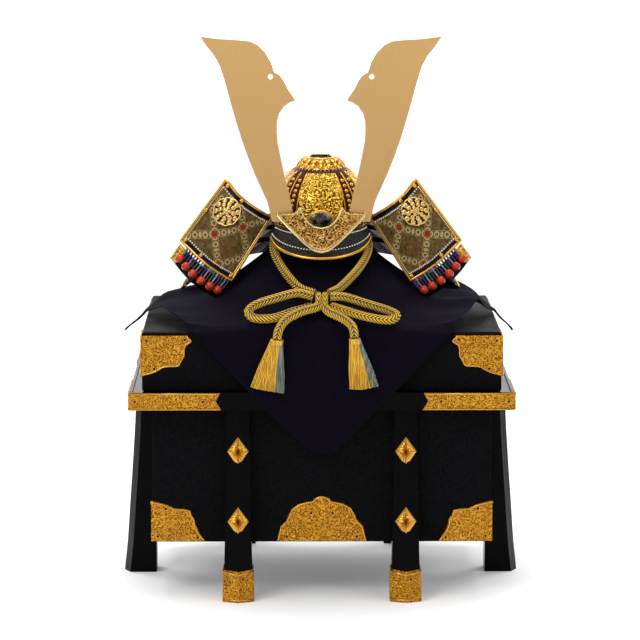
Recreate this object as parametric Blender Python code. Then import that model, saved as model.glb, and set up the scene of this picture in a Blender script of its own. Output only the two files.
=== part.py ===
"""A kabuto helmet on its storage chest: helmet, chin cord, draped cloth, hidden post and legged chest.

Metres, +Z up, the front is -Y, and the feet stand on z = 0 about the middle of the plan.
"""

from math import atan2, ceil, cos, exp, hypot, pi, radians, sin, tan

import bmesh
import bpy
from mathutils import Vector

# Shared clearances and drawing steps
SEAT_GAP = 0.0003
ROUND_STEPS = 32
CORD_SIDES_RESOLUTION = 2

# Chest body
BODY_WIDTH = 0.320
BODY_DEPTH = 0.250
BODY_BOTTOM = 0.0524
BODY_WALL = 0.006
BODY_EDGE_ROUND = 0.0008

# Waist band that carries the lid
BAND_BOTTOM = 0.1814
BAND_HEIGHT = 0.017
BAND_OVERHANG = 0.0202
BAND_RIM_WIDTH = 0.0025
BAND_RIM_HEIGHT = 0.0015

# Lid
LID_WALL = 0.0080
LID_SIDE_CLEARANCE = 0.0008
LID_HEIGHT = 0.0565
LID_EDGE_ROUND = 0.0025
LID_ROUND_STEPS = 3
LID_HEADROOM = 0.0010

# Legs: reach is how far a leg stands out from the body at the floor
LEG_REACH = 0.0310
LEG_WIDTH = 0.0275
LEG_SPACING = 0.0788
LEG_RIDGE = 0.0060
# Columns: share of the leg's height, share of its reach, share of its width
LEG_LEVELS = (
    (0.00, 1.000, 1.000),
    (0.16, 0.900, 0.960),
    (0.36, 0.820, 0.905),
    (0.56, 0.735, 0.855),
    (0.78, 0.650, 0.800),
    (1.00, 0.590, 0.745),
)

# Gilt fittings
PLATE_THICKNESS = 0.0009
CAP_HEIGHT = 0.0304
CAP_DIP = 0.0037
BOSS_WIDTH = 0.0198
BOSS_LENGTH = 0.0282
BOSS_RISE = 0.0028
BOSS_EDGE = 0.0007
# Height of each boss's middle above the floor, as a share of the leg's height
BOSS_HEIGHTS = (0.420, 0.784)
LID_PLATE_WIDTH = 0.0471
LID_PLATE_HEIGHT = 0.0388
LID_PLATE_DROP = 0.0030
# Columns: share of the width from the corner, share of the height down from the top
LID_PLATE_EDGE = (
    (0.910, 0.000),
    (1.000, 0.140),
    (0.885, 0.250),
    (0.860, 0.330),
    (0.855, 0.500),
    (0.790, 0.640),
    (0.740, 0.745),
    (0.560, 0.760),
    (0.418, 0.790),
    (0.310, 0.870),
    (0.190, 0.930),
)
BAND_PLATE_LENGTH = 0.0860
BAND_PLATE_MARGIN = 0.0004
# Columns: share of the length from the corner, share of the height from the top
BAND_PLATE_EDGE = ((0.985, 0.000), (0.940, 0.480), (1.000, 1.000))
BASE_PLATE_WIDTH = 0.0497
BASE_PLATE_HEIGHT = 0.0388
# Columns: share of the width from the corner, share of the height up from the bottom
BASE_PLATE_EDGE = (
    (1.000, 0.000),
    (0.900, 0.190),
    (0.820, 0.400),
    (0.800, 0.560),
    (0.750, 0.640),
    (0.720, 0.760),
    (0.600, 0.800),
    (0.420, 0.815),
    (0.280, 0.900),
    (0.150, 0.950),
)
CENTRE_PLATE_WIDTH = 0.0850
CENTRE_PLATE_HEIGHT = 0.0435
# Columns: share of half the width from the middle, share of the height up from the bottom
CENTRE_PLATE_EDGE = (
    (1.000, 0.000),
    (0.950, 0.200),
    (0.920, 0.330),
    (0.800, 0.440),
    (0.740, 0.580),
    (0.660, 0.720),
    (0.500, 0.820),
    (0.300, 0.870),
    (0.200, 0.890),
    (0.160, 0.950),
    (0.000, 1.000),
)

# Helmet bowl, on its own tilted frame above the chest
BOWL_BASE = 0.3430
BOWL_RADIUS = 0.0470
BOWL_HEIGHT = 0.0595
BOWL_DEPTH_SHARE = 1.060
BOWL_WALL = 0.0018
HELMET_TILT = radians(4.6)
# Columns: share of the bowl's height, share of its radius
BOWL_PROFILE = (
    (0.000, 1.000),
    (0.210, 1.000),
    (0.410, 0.955),
    (0.590, 0.860),
    (0.720, 0.750),
    (0.815, 0.640),
    (0.905, 0.500),
    (0.970, 0.370),
    (1.000, 0.235),
)
CROWN_RADIUS = 0.0223
CROWN_HOLE_RADIUS = 0.0118
CROWN_HEIGHT = 0.0046
# Columns: share of the way from the hole to the outside, share of the crown's height
CROWN_PROFILE = ((0.00, 0.90), (0.12, 1.00), (0.28, 0.82), (0.55, 0.60), (0.85, 0.46), (1.00, 0.22))
FRONT_PLATE_THICKNESS = 0.0016
FRONT_PLATE_STANDOFF = 0.0009
FRONT_PLATE_STEPS = 6
# Columns: share of the bowl's height, the plate's half angle about the bowl
FRONT_PLATE_LEVELS = (
    (0.080, radians(19.0)),
    (0.180, radians(22.0)),
    (0.320, radians(25.0)),
    (0.500, radians(28.0)),
    (0.660, radians(29.0)),
    (0.790, radians(28.0)),
    (0.860, radians(26.0)),
)

# Visor
VISOR_ANGLE = radians(64)
VISOR_CENTRE_Y = -0.0360
VISOR_HALF_WIDTH = 0.0480
VISOR_FORWARD = 0.0420
VISOR_LIP_DROP = 0.0270
VISOR_LIP_RISE = 0.0175
VISOR_ROOT_RISE = 0.0010
VISOR_ROOT_GAP = 0.0006
VISOR_THICKNESS = 0.0018
VISOR_STEPS = 20

# Crest holder: a bowed plate that stands on the visor
HOLDER_HALF_WIDTH = 0.0428
HOLDER_FRONT_Y = -0.0745
HOLDER_SWEEP = 0.0130
HOLDER_RISE = 0.0409
HOLDER_THICKNESS = 0.0016
HOLDER_DEPTH = 0.0355
HOLDER_LEAN = 0.0060
# Columns: share of the half width, upper edge and lower edge as shares of the depth, up from the tip
HOLDER_EDGES = (
    (0.000, 0.660, 0.000),
    (0.160, 0.700, 0.045),
    (0.270, 0.790, 0.140),
    (0.380, 0.950, 0.240),
    (0.470, 1.200, 0.340),
    (0.520, 1.110, 0.400),
    (0.640, 1.030, 0.530),
    (0.800, 1.020, 0.720),
    (1.000, 1.000, 0.960),
)
BOSS_HALF_WIDTH = 0.0108
BOSS_HALF_HEIGHT = 0.0072
CREST_BOSS_DEPTH = 0.0060
CREST_BOSS_HEIGHT_SHARE = 0.215

# Horns: flat plates swept a little backwards
HORN_REACH = 0.1155
HORN_HEIGHT = 0.1650
HORN_FOOT_RISE = 0.0022
HORN_THICKNESS = 0.0012
HORN_YAW = radians(14)
HORN_LEAN = radians(3)
HORN_HOLE_RADIUS = 0.0024
HORN_HOLE_AT = (0.418, 0.775)
# Columns: share of the reach from the middle of the helmet, share of the height from the foot
HORN_OUTLINE = (
    (0.405, -0.060),
    (0.430, 0.017),
    (0.445, 0.057),
    (0.540, 0.201),
    (0.597, 0.297),
    (0.656, 0.411),
    (0.708, 0.529),
    (0.761, 0.656),
    (0.801, 0.756),
    (0.834, 0.829),
    (0.880, 0.888),
    (0.945, 0.943),
    (1.000, 1.000),
    (0.854, 0.988),
    (0.695, 0.983),
    (0.590, 0.977),
    (0.524, 0.957),
    (0.458, 0.911),
    (0.412, 0.856),
    (0.386, 0.800),
    (0.340, 0.784),
    (0.307, 0.752),
    (0.274, 0.706),
    (0.234, 0.665),
    (0.210, 0.642),
    (0.260, 0.629),
    (0.307, 0.606),
    (0.346, 0.565),
    (0.364, 0.520),
    (0.366, 0.456),
    (0.360, 0.402),
    (0.340, 0.329),
    (0.312, 0.234),
    (0.270, 0.123),
    (0.240, 0.025),
    (0.235, -0.060),
)

# Neck guard: three plates on one shallow cone, each tucked under the one above
NECK_TOP = 0.3480
NECK_SLOPE = 0.800
NECK_TILT = 0.080
NECK_THICKNESS = 0.0014
NECK_TUCK = 0.0040
NECK_STEPS = 26
NECK_BACK_SHARE = 0.70
NECK_BLEND = radians(25)
# Columns: inner radius at the side, outer radius at the side, half angle of the open front
NECK_PLATES = (
    (0.0500, 0.0900, radians(60)),
    (0.0900, 0.1130, radians(68)),
    (0.1130, 0.1360, radians(94)),
)

# Turned-back wings at the front ends of the two upper plates, right-hand side
WING_THICKNESS = 0.0018
WING_BULGE = 0.0050
WING_ROWS = 4
# Columns: upper edge x, y, z and lower edge x, y, z, from the fold outwards
WING_EDGES = (
    (0.0478, -0.0265, 0.3500, 0.0860, -0.0455, 0.2915),
    (0.0600, -0.0350, 0.3580, 0.0985, -0.0455, 0.2990),
    (0.0700, -0.0380, 0.3650, 0.1100, -0.0430, 0.3070),
    (0.0800, -0.0370, 0.3735, 0.1220, -0.0370, 0.3170),
    (0.0910, -0.0310, 0.3870, 0.1345, -0.0270, 0.3280),
)
LOWER_WING_EDGES = (
    (0.0880, -0.0415, 0.2880, 0.1010, -0.0395, 0.2745),
    (0.1010, -0.0425, 0.2950, 0.1130, -0.0400, 0.2815),
    (0.1130, -0.0395, 0.3030, 0.1245, -0.0370, 0.2895),
    (0.1240, -0.0340, 0.3130, 0.1345, -0.0310, 0.2995),
    (0.1350, -0.0255, 0.3240, 0.1440, -0.0235, 0.3110),
)
ROUNDEL_RADIUS = 0.0138
ROUNDEL_THICKNESS = 0.0026
ROUNDEL_PETALS = 8
ROUNDEL_SCALLOP = 0.08
# Share of the way out along the wing, and of the way down it
ROUNDEL_AT = (0.700, 0.270)

# Hidden post under the cloth
POST_RADIUS = 0.0120
POST_HEAD_RADIUS = 0.0150
POST_BASE_RADIUS = 0.0360
POST_BASE_HEIGHT = 0.0070
POST_HEAD_HEIGHT = 0.0160
# Columns: share of the head's radius, share of the head's height down from the top
POST_HEAD = ((0.00, 0.00), (0.60, 0.12), (1.00, 0.50))

# Draped cloth
CLOTH_THICKNESS = 0.0016
CLOTH_GAP = 0.0005
CLOTH_BAND_GAP = 0.0008
CLOTH_CROWN_CLEARANCE = 0.0004
# Columns: radius from the post, share of the height between the lid and the cloth's top
CLOTH_TENT = (
    (0.0060, 1.000),
    (0.0120, 0.985),
    (0.0165, 0.940),
    (0.0190, 0.820),
    (0.0220, 0.670),
    (0.0300, 0.545),
    (0.0420, 0.460),
    (0.0570, 0.375),
    (0.0810, 0.250),
    (0.0980, 0.165),
    (0.1110, 0.100),
    (0.1310, 0.040),
    (0.1500, 0.015),
    (0.1700, 0.000),
    (0.3000, 0.000),
)
CLOTH_TENT_RINGS = 9
CLOTH_RINGS_TO_EDGE = 3
CLOTH_BEND_STEPS = 2
CLOTH_RING_SPACE = 0.0004
CLOTH_LAST_KINK = 0.88
CLOTH_EDGE_RADIUS = 0.0052
CLOTH_EDGE_STANDOFF = 0.0019
CLOTH_HANG_ANGLE = radians(75)
CLOTH_FRONT_FALL = 0.1360
CLOTH_FOLD_HEIGHT = 0.0009
CLOTH_FOLDS_PER_QUARTER = 2
# Columns: corner of the hem as shares of the way to where the cloth bends, across and along, the
# share of the fall or flap beyond the bend, and the steps of the hem up to the next corner
CLOTH_HEM = (
    (0.000, 1.000, 1.00, 4),
    (0.745, 1.000, 0.00, 3),
    (0.905, 0.390, 0.00, 2),
    (1.000, 0.075, 0.00, 1),
    (1.000, 0.000, 1.00, 0),
)
# Columns: side, flap length, flap angle, and the puffed fold's height on the lid
CLOTH_FLAPS = (
    (-1, 0.0360, radians(52), 0.0170),
    (1, 0.0340, radians(60), 0.0270),
)
FLAP_ALONG = 0.0030
# Middle and reach of the puffed folds, as x and y from the middle of the lid, and where on the way
# from the tent to the hem they start to fade
PUFF_MIDDLE = (0.1400, 0.0600)
PUFF_REACH = (0.0300, 0.0380)
PUFF_FADE = 0.7

# Chin cord, its bow and tassels
CORD_DIAMETER = 0.0080
CORD_STEP = 0.0130
# Columns: x, y, z of the route's points
CHIN_CORD_ROUTE = (
    (-0.0073, -0.1094, 0.2872),
    (-0.0230, -0.0960, 0.2925),
    (-0.0385, -0.0650, 0.3080),
    (-0.0455, -0.0430, 0.3226),
    (-0.0420, -0.0250, 0.3330),
    (-0.0355, -0.0050, 0.3420),
    (-0.0300, 0.0186, 0.3482),
    (-0.0120, 0.0335, 0.3500),
    (0.0120, 0.0335, 0.3500),
    (0.0300, 0.0186, 0.3482),
    (0.0355, -0.0050, 0.3420),
    (0.0420, -0.0250, 0.3330),
    (0.0455, -0.0430, 0.3226),
    (0.0370, -0.0670, 0.3075),
    (0.0185, -0.0975, 0.2920),
    (0.0073, -0.1092, 0.2872),
)
LEFT_LOOP_ROUTE = (
    (-0.0082, -0.1185, 0.2855),
    (-0.0233, -0.1185, 0.2888),
    (-0.0428, -0.1200, 0.2842),
    (-0.0606, -0.1210, 0.2785),
    (-0.0688, -0.1240, 0.2720),
    (-0.0630, -0.1290, 0.2664),
    (-0.0455, -0.1310, 0.2668),
    (-0.0260, -0.1270, 0.2725),
    (-0.0090, -0.1182, 0.2762),
)
RIGHT_LOOP_ROUTE = (
    (0.0082, -0.1185, 0.2855),
    (0.0224, -0.1180, 0.2848),
    (0.0438, -0.1190, 0.2782),
    (0.0623, -0.1220, 0.2726),
    (0.0702, -0.1270, 0.2686),
    (0.0631, -0.1340, 0.2652),
    (0.0430, -0.1335, 0.2680),
    (0.0215, -0.1270, 0.2735),
    (0.0094, -0.1182, 0.2762),
)
LEFT_TAIL_ROUTE = (
    (-0.0064, -0.1266, 0.2757),
    (-0.0190, -0.1365, 0.2735),
    (-0.0330, -0.1430, 0.2670),
    (-0.0398, -0.1480, 0.2585),
    (-0.0420, -0.1496, 0.2495),
)
RIGHT_TAIL_ROUTE = (
    (0.0064, -0.1272, 0.2722),
    (0.0165, -0.1355, 0.2685),
    (0.0250, -0.1425, 0.2640),
    (0.0292, -0.1478, 0.2590),
    (0.0303, -0.1494, 0.2535),
)
KNOT_CENTRE = (0.0, -0.1185, 0.2808)
KNOT_HALF_HEIGHT = 0.0095
KNOT_HALF_DEPTH = 0.0078
KNOT_SIDES = 12
# Columns: place across in metres, share of the knot's section
KNOT_WRAPS = (
    (-0.0062, 0.62),
    (-0.0052, 0.90),
    (-0.0030, 1.00),
    (0.0000, 0.88),
    (0.0030, 1.00),
    (0.0052, 0.90),
    (0.0062, 0.62),
)
TASSEL_LENGTH = 0.0475
TASSEL_HALF_DEPTH = 0.0038
TASSEL_LOCKS = 10
TASSEL_LOCK_RELIEF = 0.07
TASSEL_Y_DRIFT = -0.0031
# Columns: share of the length, share of the half width, share of the way to the half depth
TASSEL_LEVELS = (
    (0.00, 0.300, 1.00),
    (0.08, 0.370, 1.10),
    (0.25, 0.500, 1.10),
    (0.60, 0.760, 1.05),
    (1.00, 1.000, 1.00),
)
# Columns: name, half width at the foot, sideways drift over the length
TASSELS = (("tassel_left", 0.0168, -0.0092), ("tassel_right", 0.0146, 0.0092))

# Derived sizes
band_top = BAND_BOTTOM + BAND_HEIGHT
lid_bottom = band_top - BAND_RIM_HEIGHT + SEAT_GAP
lid_top = lid_bottom + LID_HEIGHT
lid_half_width = BODY_WIDTH / 2 + LID_SIDE_CLEARANCE + LID_WALL
lid_half_depth = BODY_DEPTH / 2 + LID_SIDE_CLEARANCE + LID_WALL
body_top = lid_top - LID_WALL - LID_HEADROOM
leg_top = BAND_BOTTOM - SEAT_GAP
cap_margin = SEAT_GAP + PLATE_THICKNESS
cap_proud = cap_margin * hypot(LEG_WIDTH / 2, LEG_RIDGE) / (LEG_WIDTH / 2)
cloth_top = BOWL_BASE + BOWL_HEIGHT - BOWL_WALL - CLOTH_THICKNESS - CLOTH_CROWN_CLEARANCE
visor_lip_height = BOWL_BASE - VISOR_LIP_DROP
holder_top = visor_lip_height + HOLDER_RISE
horn_foot = holder_top + HORN_FOOT_RISE
visor_inner_radius = BOWL_RADIUS + VISOR_THICKNESS / 2 + VISOR_ROOT_GAP
cloth_wall = BODY_DEPTH / 2 + BAND_OVERHANG + CLOTH_BAND_GAP
post_top = cloth_top - CLOTH_GAP
cord_radius = CORD_DIAMETER / 2


def clear_scene():
    for old in list(bpy.data.objects):
        bpy.data.objects.remove(old, do_unlink=True)


def finish_of(name, colour, roughness, metallic=0.0):
    """A Principled material of one plain colour."""
    made = bpy.data.materials.new(name)
    made.use_nodes = True
    shader = made.node_tree.nodes["Principled BSDF"]
    shader.inputs["Base Color"].default_value = (*colour, 1.0)
    shader.inputs["Roughness"].default_value = roughness
    shader.inputs["Metallic"].default_value = metallic
    made.diffuse_color = (*colour, 1.0)
    return made


def add_object(name, mesh, finish, smooth=False, parent=None):
    piece = bpy.data.objects.new(name, mesh)
    bpy.context.scene.collection.objects.link(piece)
    piece.data.materials.append(finish)
    if smooth:
        mesh.polygons.foreach_set("use_smooth", [True] * len(mesh.polygons))
    piece.parent = parent
    return piece


def mesh_of(name, points, faces):
    """A mesh with its faces turned outwards."""
    shape = bmesh.new()
    corners = [shape.verts.new(point) for point in points]
    for face in faces:
        shape.faces.new([corners[index] for index in face])
    bmesh.ops.recalc_face_normals(shape, faces=shape.faces)
    mesh = bpy.data.meshes.new(name)
    shape.to_mesh(mesh)
    shape.free()
    return mesh


def skin(name, loops, ring=False):
    """Joins loops of equal length with quads; the ends are closed, or the last loop meets the first."""
    count = len(loops[0])
    points = [point for loop in loops for point in loop]
    last = len(loops) if ring else len(loops) - 1
    faces = []
    for row in range(last):
        low, high = row * count, (row + 1) % len(loops) * count
        for k in range(count):
            after = (k + 1) % count
            faces.append((low + k, low + after, high + after, high + k))
    if not ring:
        faces.append(tuple(range(count)))
        faces.append(tuple(range(len(points) - count, len(points))))
    return mesh_of(name, points, faces)


def sheet(name, rows):
    """An open grid through rows of points."""
    count = len(rows[0])
    points = [point for row in rows for point in row]
    faces = [
        (r * count + k, r * count + k + 1, (r + 1) * count + k + 1, (r + 1) * count + k)
        for r in range(len(rows) - 1)
        for k in range(count - 1)
    ]
    return mesh_of(name, points, faces)


def thicken(piece, thickness, offset=0.0, even=True):
    """Gives an open sheet a wall; offset -1 is inwards and +1 outwards."""
    wall = piece.modifiers.new("wall", "SOLIDIFY")
    wall.thickness = thickness
    wall.offset = offset
    wall.use_even_offset = even
    return piece


def soften(piece, width, segments=1):
    edge = piece.modifiers.new("soft edge", "BEVEL")
    edge.width = width
    edge.segments = segments
    edge.limit_method = "ANGLE"
    return piece


def between(table, at, column=1):
    """The value of a table's column at a place between its rows."""
    for low, high in zip(table, table[1:]):
        if at <= high[0]:
            share = max(0.0, (at - low[0]) / (high[0] - low[0]))
            return low[column] + (high[column] - low[column]) * share
    return table[-1][column]


def smoothstep(low, high, at):
    share = min(1.0, max(0.0, (at - low) / (high - low)))
    return share * share * (3 - 2 * share)


def through(route, step):
    """Points about a step apart on a smooth curve through a route."""
    points = [Vector(point) for point in route]
    ends = [2 * points[0] - points[1], *points, 2 * points[-1] - points[-2]]
    found = []
    for a, b, c, d in zip(ends, ends[1:], ends[2:], ends[3:]):
        count = max(1, ceil((c - b).length / step))
        for k in range(count):
            t = k / count
            found.append(
                ((2 * b) + (c - a) * t + (2 * a - 5 * b + 4 * c - d) * t**2 + (3 * b - a - 3 * c + d) * t**3)
                / 2
            )
    return found + [points[-1]]


def tube(name, route, finish):
    """A round cord along a route, with filled ends."""
    points = through(route, CORD_STEP)
    curve = bpy.data.curves.new(name, "CURVE")
    curve.dimensions = "3D"
    curve.bevel_depth = cord_radius
    curve.bevel_resolution = CORD_SIDES_RESOLUTION
    curve.use_fill_caps = True
    line = curve.splines.new("POLY")
    line.points.add(len(points) - 1)
    for spot, point in zip(line.points, points):
        spot.co = (*point, 1.0)
    return add_object(name, curve, finish)


# Chest
def open_box(name, half_width, half_depth, low, high, wall, open_top, finish):
    """A box without its top or its bottom, walled inwards."""
    shape = bmesh.new()
    bmesh.ops.create_cube(shape, size=1.0)
    bmesh.ops.scale(shape, vec=(2 * half_width, 2 * half_depth, high - low), verts=shape.verts)
    shape.faces.ensure_lookup_table()
    side = 1 if open_top else -1
    lost = [face for face in shape.faces if face.normal.z * side > 1 / 2]
    bmesh.ops.delete(shape, geom=lost, context="FACES")
    mesh = bpy.data.meshes.new(name)
    shape.to_mesh(mesh)
    shape.free()
    piece = add_object(name, mesh, finish)
    piece.location = (0, 0, (low + high) / 2)
    return thicken(piece, wall, -1.0)


def rectangle(half_width, half_depth, height):
    return [
        (-half_width, -half_depth, height),
        (half_width, -half_depth, height),
        (half_width, half_depth, height),
        (-half_width, half_depth, height),
    ]


def build_chest(wood, leather, gilt):
    body = open_box(
        "chest_body", BODY_WIDTH / 2, BODY_DEPTH / 2, BODY_BOTTOM, body_top, BODY_WALL, True, wood
    )
    soften(body, BODY_EDGE_ROUND)
    lid = open_box(
        "chest_lid", lid_half_width, lid_half_depth, lid_bottom, lid_top, LID_WALL, False, leather
    )
    soften(lid, LID_EDGE_ROUND, LID_ROUND_STEPS)

    inner = (BODY_WIDTH / 2 + SEAT_GAP, BODY_DEPTH / 2 + SEAT_GAP)
    outer = (BODY_WIDTH / 2 + BAND_OVERHANG, BODY_DEPTH / 2 + BAND_OVERHANG)
    rim = (outer[0] - BAND_RIM_WIDTH, outer[1] - BAND_RIM_WIDTH)
    shelf = band_top - BAND_RIM_HEIGHT
    loops = [
        rectangle(*inner, BAND_BOTTOM),
        rectangle(*outer, BAND_BOTTOM),
        rectangle(*outer, band_top),
        rectangle(*rim, band_top),
        rectangle(*rim, shelf),
        rectangle(*inner, shelf),
    ]
    add_object("chest_band", skin("chest_band", loops, ring=True), wood)
    build_legs(wood, gilt)
    build_fittings(gilt)


def leg_size(height):
    """A leg's width and reach at a height above the floor."""
    share = height / leg_top
    return LEG_WIDTH * between(LEG_LEVELS, share, 2), LEG_REACH * between(LEG_LEVELS, share)


def leg_section(height, extra_reach=0.0, grown=0.0, dip=0.0):
    """The five-sided section of a leg, its flat back on the body's face; grown adds a margin all round."""
    width, reach = leg_size(height)
    half, reach = width / 2, reach + extra_reach
    slope = hypot(half, LEG_RIDGE)
    shoulder = reach - LEG_RIDGE
    side = half + grown
    edge = shoulder + grown * (slope - LEG_RIDGE) / half
    tip = reach + grown * slope / half
    back = SEAT_GAP - grown
    return [
        (-side, -back, height),
        (side, -back, height),
        (side, -edge, height),
        (0.0, -tip, height - dip),
        (-side, -edge, height),
    ]


def build_legs(wood, gilt):
    heights = [row[0] * leg_top for row in LEG_LEVELS]
    front = -BODY_DEPTH / 2
    places = (
        ("leg_front_left", (-LEG_SPACING, front), 0, 0.0),
        ("leg_front_right", (LEG_SPACING, front), 0, 0.0),
        ("leg_back_left", (-LEG_SPACING, -front), pi, cap_proud),
        ("leg_back_right", (LEG_SPACING, -front), pi, cap_proud),
        ("leg_side_left", (-BODY_WIDTH / 2, 0), -pi / 2, cap_proud),
        ("leg_side_right", (BODY_WIDTH / 2, 0), pi / 2, cap_proud),
    )
    for name, spot, turn, extra in places:
        loops = [leg_section(height, extra) for height in heights]
        leg = add_object(name, skin(name, loops), wood)
        leg.location = (*spot, 0)
        leg.rotation_euler = (0, 0, turn)

    levels = [height for height in (0.0, LEG_LEVELS[1][0] * leg_top) if height < CAP_HEIGHT]
    for side, x in (("left", -LEG_SPACING), ("right", LEG_SPACING)):
        outer = [leg_section(h, grown=cap_margin) for h in levels]
        outer.append(leg_section(CAP_HEIGHT, grown=cap_margin, dip=CAP_DIP))
        inner = [leg_section(h, grown=SEAT_GAP) for h in levels]
        inner.append(leg_section(CAP_HEIGHT, grown=SEAT_GAP, dip=CAP_DIP))
        name = f"foot_cap_{side}"
        cap = add_object(name, skin(name, outer + inner[::-1], ring=True), gilt)
        cap.location = (x, front, 0)
        for number, share in enumerate(BOSS_HEIGHTS, start=1):
            boss = add_object(*diamond_boss(f"boss_{side}_{number}", share * leg_top), gilt)
            boss.location = (x, front, 0)


def diamond_boss(name, middle):
    """A pointed lozenge bent over the leg's ridge."""

    def on_leg(x, z, off):
        width, reach = leg_size(z)
        return (x, -(reach - LEG_RIDGE * abs(x) / (width / 2)) - off, z)

    half_width, half_length = BOSS_WIDTH / 2, BOSS_LENGTH / 2
    spots = [
        (half_width, 0),
        (half_width / 2, half_length / 2),
        (0, half_length),
        (-half_width / 2, half_length / 2),
        (-half_width, 0),
        (-half_width / 2, -half_length / 2),
        (0, -half_length),
        (half_width / 2, -half_length / 2),
    ]
    back = [on_leg(x, middle + z, SEAT_GAP) for x, z in spots]
    front = [on_leg(x, middle + z, SEAT_GAP + BOSS_EDGE) for x, z in spots]
    points = back + front + [on_leg(0, middle, SEAT_GAP), on_leg(0, middle, SEAT_GAP + BOSS_RISE)]
    count = len(spots)
    faces = []
    for k in range(count):
        after = (k + 1) % count
        faces.append((k, after, count + after, count + k))
        faces.append((count + k, count + after, 2 * count + 1))
        faces.append((k, after, 2 * count))
    return name, mesh_of(name, points, faces)


def corner_plate(name, edge, width, height, base, downwards, corner, turn, gilt):
    """A plate around one corner; its two arms have the same outline and share the corner's edge."""
    sign = -1 if downwards else 1
    back = -SEAT_GAP
    outline = [(width * along, base + sign * height * up) for along, up in edge]
    near, far = (back, back, base), (back, back, base + sign * height)
    front = [(along, back, z) for along, z in outline]
    side = [(back, along, z) for along, z in outline]
    points = [near, far, *front, *side]
    count = len(outline)
    faces = [
        (0, *range(2, 2 + count), 1),
        (1, *range(1 + 2 * count, 1 + count, -1), 0),
    ]
    shape = bmesh.new()
    corners = [shape.verts.new(point) for point in points]
    for face in faces:
        shape.faces.new([corners[index] for index in face])
    for face in shape.faces:
        face.normal_update()
    outwards = next(iter(shape.faces)).normal
    if outwards.y > 0:
        bmesh.ops.reverse_faces(shape, faces=shape.faces)
    mesh = bpy.data.meshes.new(name)
    shape.to_mesh(mesh)
    shape.free()
    plate = thicken(add_object(name, mesh, gilt), PLATE_THICKNESS, 1.0)
    plate.location = (*corner, 0)
    plate.rotation_euler = (0, 0, turn)


def build_fittings(gilt):
    corners = (
        ("front_left", -1, -1, 0),
        ("front_right", 1, -1, pi / 2),
        ("back_right", 1, 1, pi),
        ("back_left", -1, 1, -pi / 2),
    )
    band = (BODY_WIDTH / 2 + BAND_OVERHANG, BODY_DEPTH / 2 + BAND_OVERHANG)
    for place, x, y, turn in corners:
        corner_plate(
            f"lid_plate_{place}",
            LID_PLATE_EDGE,
            LID_PLATE_WIDTH,
            LID_PLATE_HEIGHT,
            lid_top - LID_PLATE_DROP,
            True,
            (x * lid_half_width, y * lid_half_depth),
            turn,
            gilt,
        )
        corner_plate(
            f"band_plate_{place}",
            BAND_PLATE_EDGE,
            BAND_PLATE_LENGTH,
            BAND_HEIGHT - 2 * BAND_PLATE_MARGIN,
            band_top - BAND_PLATE_MARGIN,
            True,
            (x * band[0], y * band[1]),
            turn,
            gilt,
        )
        corner_plate(
            f"base_plate_{place}",
            BASE_PLATE_EDGE,
            BASE_PLATE_WIDTH,
            BASE_PLATE_HEIGHT,
            BODY_BOTTOM + BODY_EDGE_ROUND,
            False,
            (x * BODY_WIDTH / 2, y * BODY_DEPTH / 2),
            turn,
            gilt,
        )
    half = [
        (CENTRE_PLATE_WIDTH / 2 * along, CENTRE_PLATE_HEIGHT * up) for along, up in CENTRE_PLATE_EDGE
    ]
    outline = half + [(-x, z) for x, z in half[-2::-1]]
    name = "base_plate_centre"
    loops = [[(x, -depth, z) for x, z in outline] for depth in (0, PLATE_THICKNESS)]
    plate = add_object(name, skin(name, loops), gilt)
    plate.location = (0, -BODY_DEPTH / 2 - SEAT_GAP, BODY_BOTTOM + BODY_EDGE_ROUND)


# Helmet bowl
def bowl_radius(share):
    return BOWL_RADIUS * between(BOWL_PROFILE, share)


def spun(name, profile, finish, smooth=True, parent=None):
    """A closed profile in the XZ plane, turned about Z with a Screw modifier."""
    mesh = bpy.data.meshes.new(name)
    count = len(profile)
    mesh.from_pydata(
        [(radius, 0, height) for radius, height in profile],
        [(k, (k + 1) % count) for k in range(count)],
        [],
    )
    piece = add_object(name, mesh, finish, parent=parent)
    turned = piece.modifiers.new("turned", "SCREW")
    turned.steps = ROUND_STEPS
    turned.render_steps = ROUND_STEPS
    turned.use_merge_vertices = True
    turned.merge_threshold = SEAT_GAP / 10
    turned.use_smooth_shade = smooth
    return piece


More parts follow.
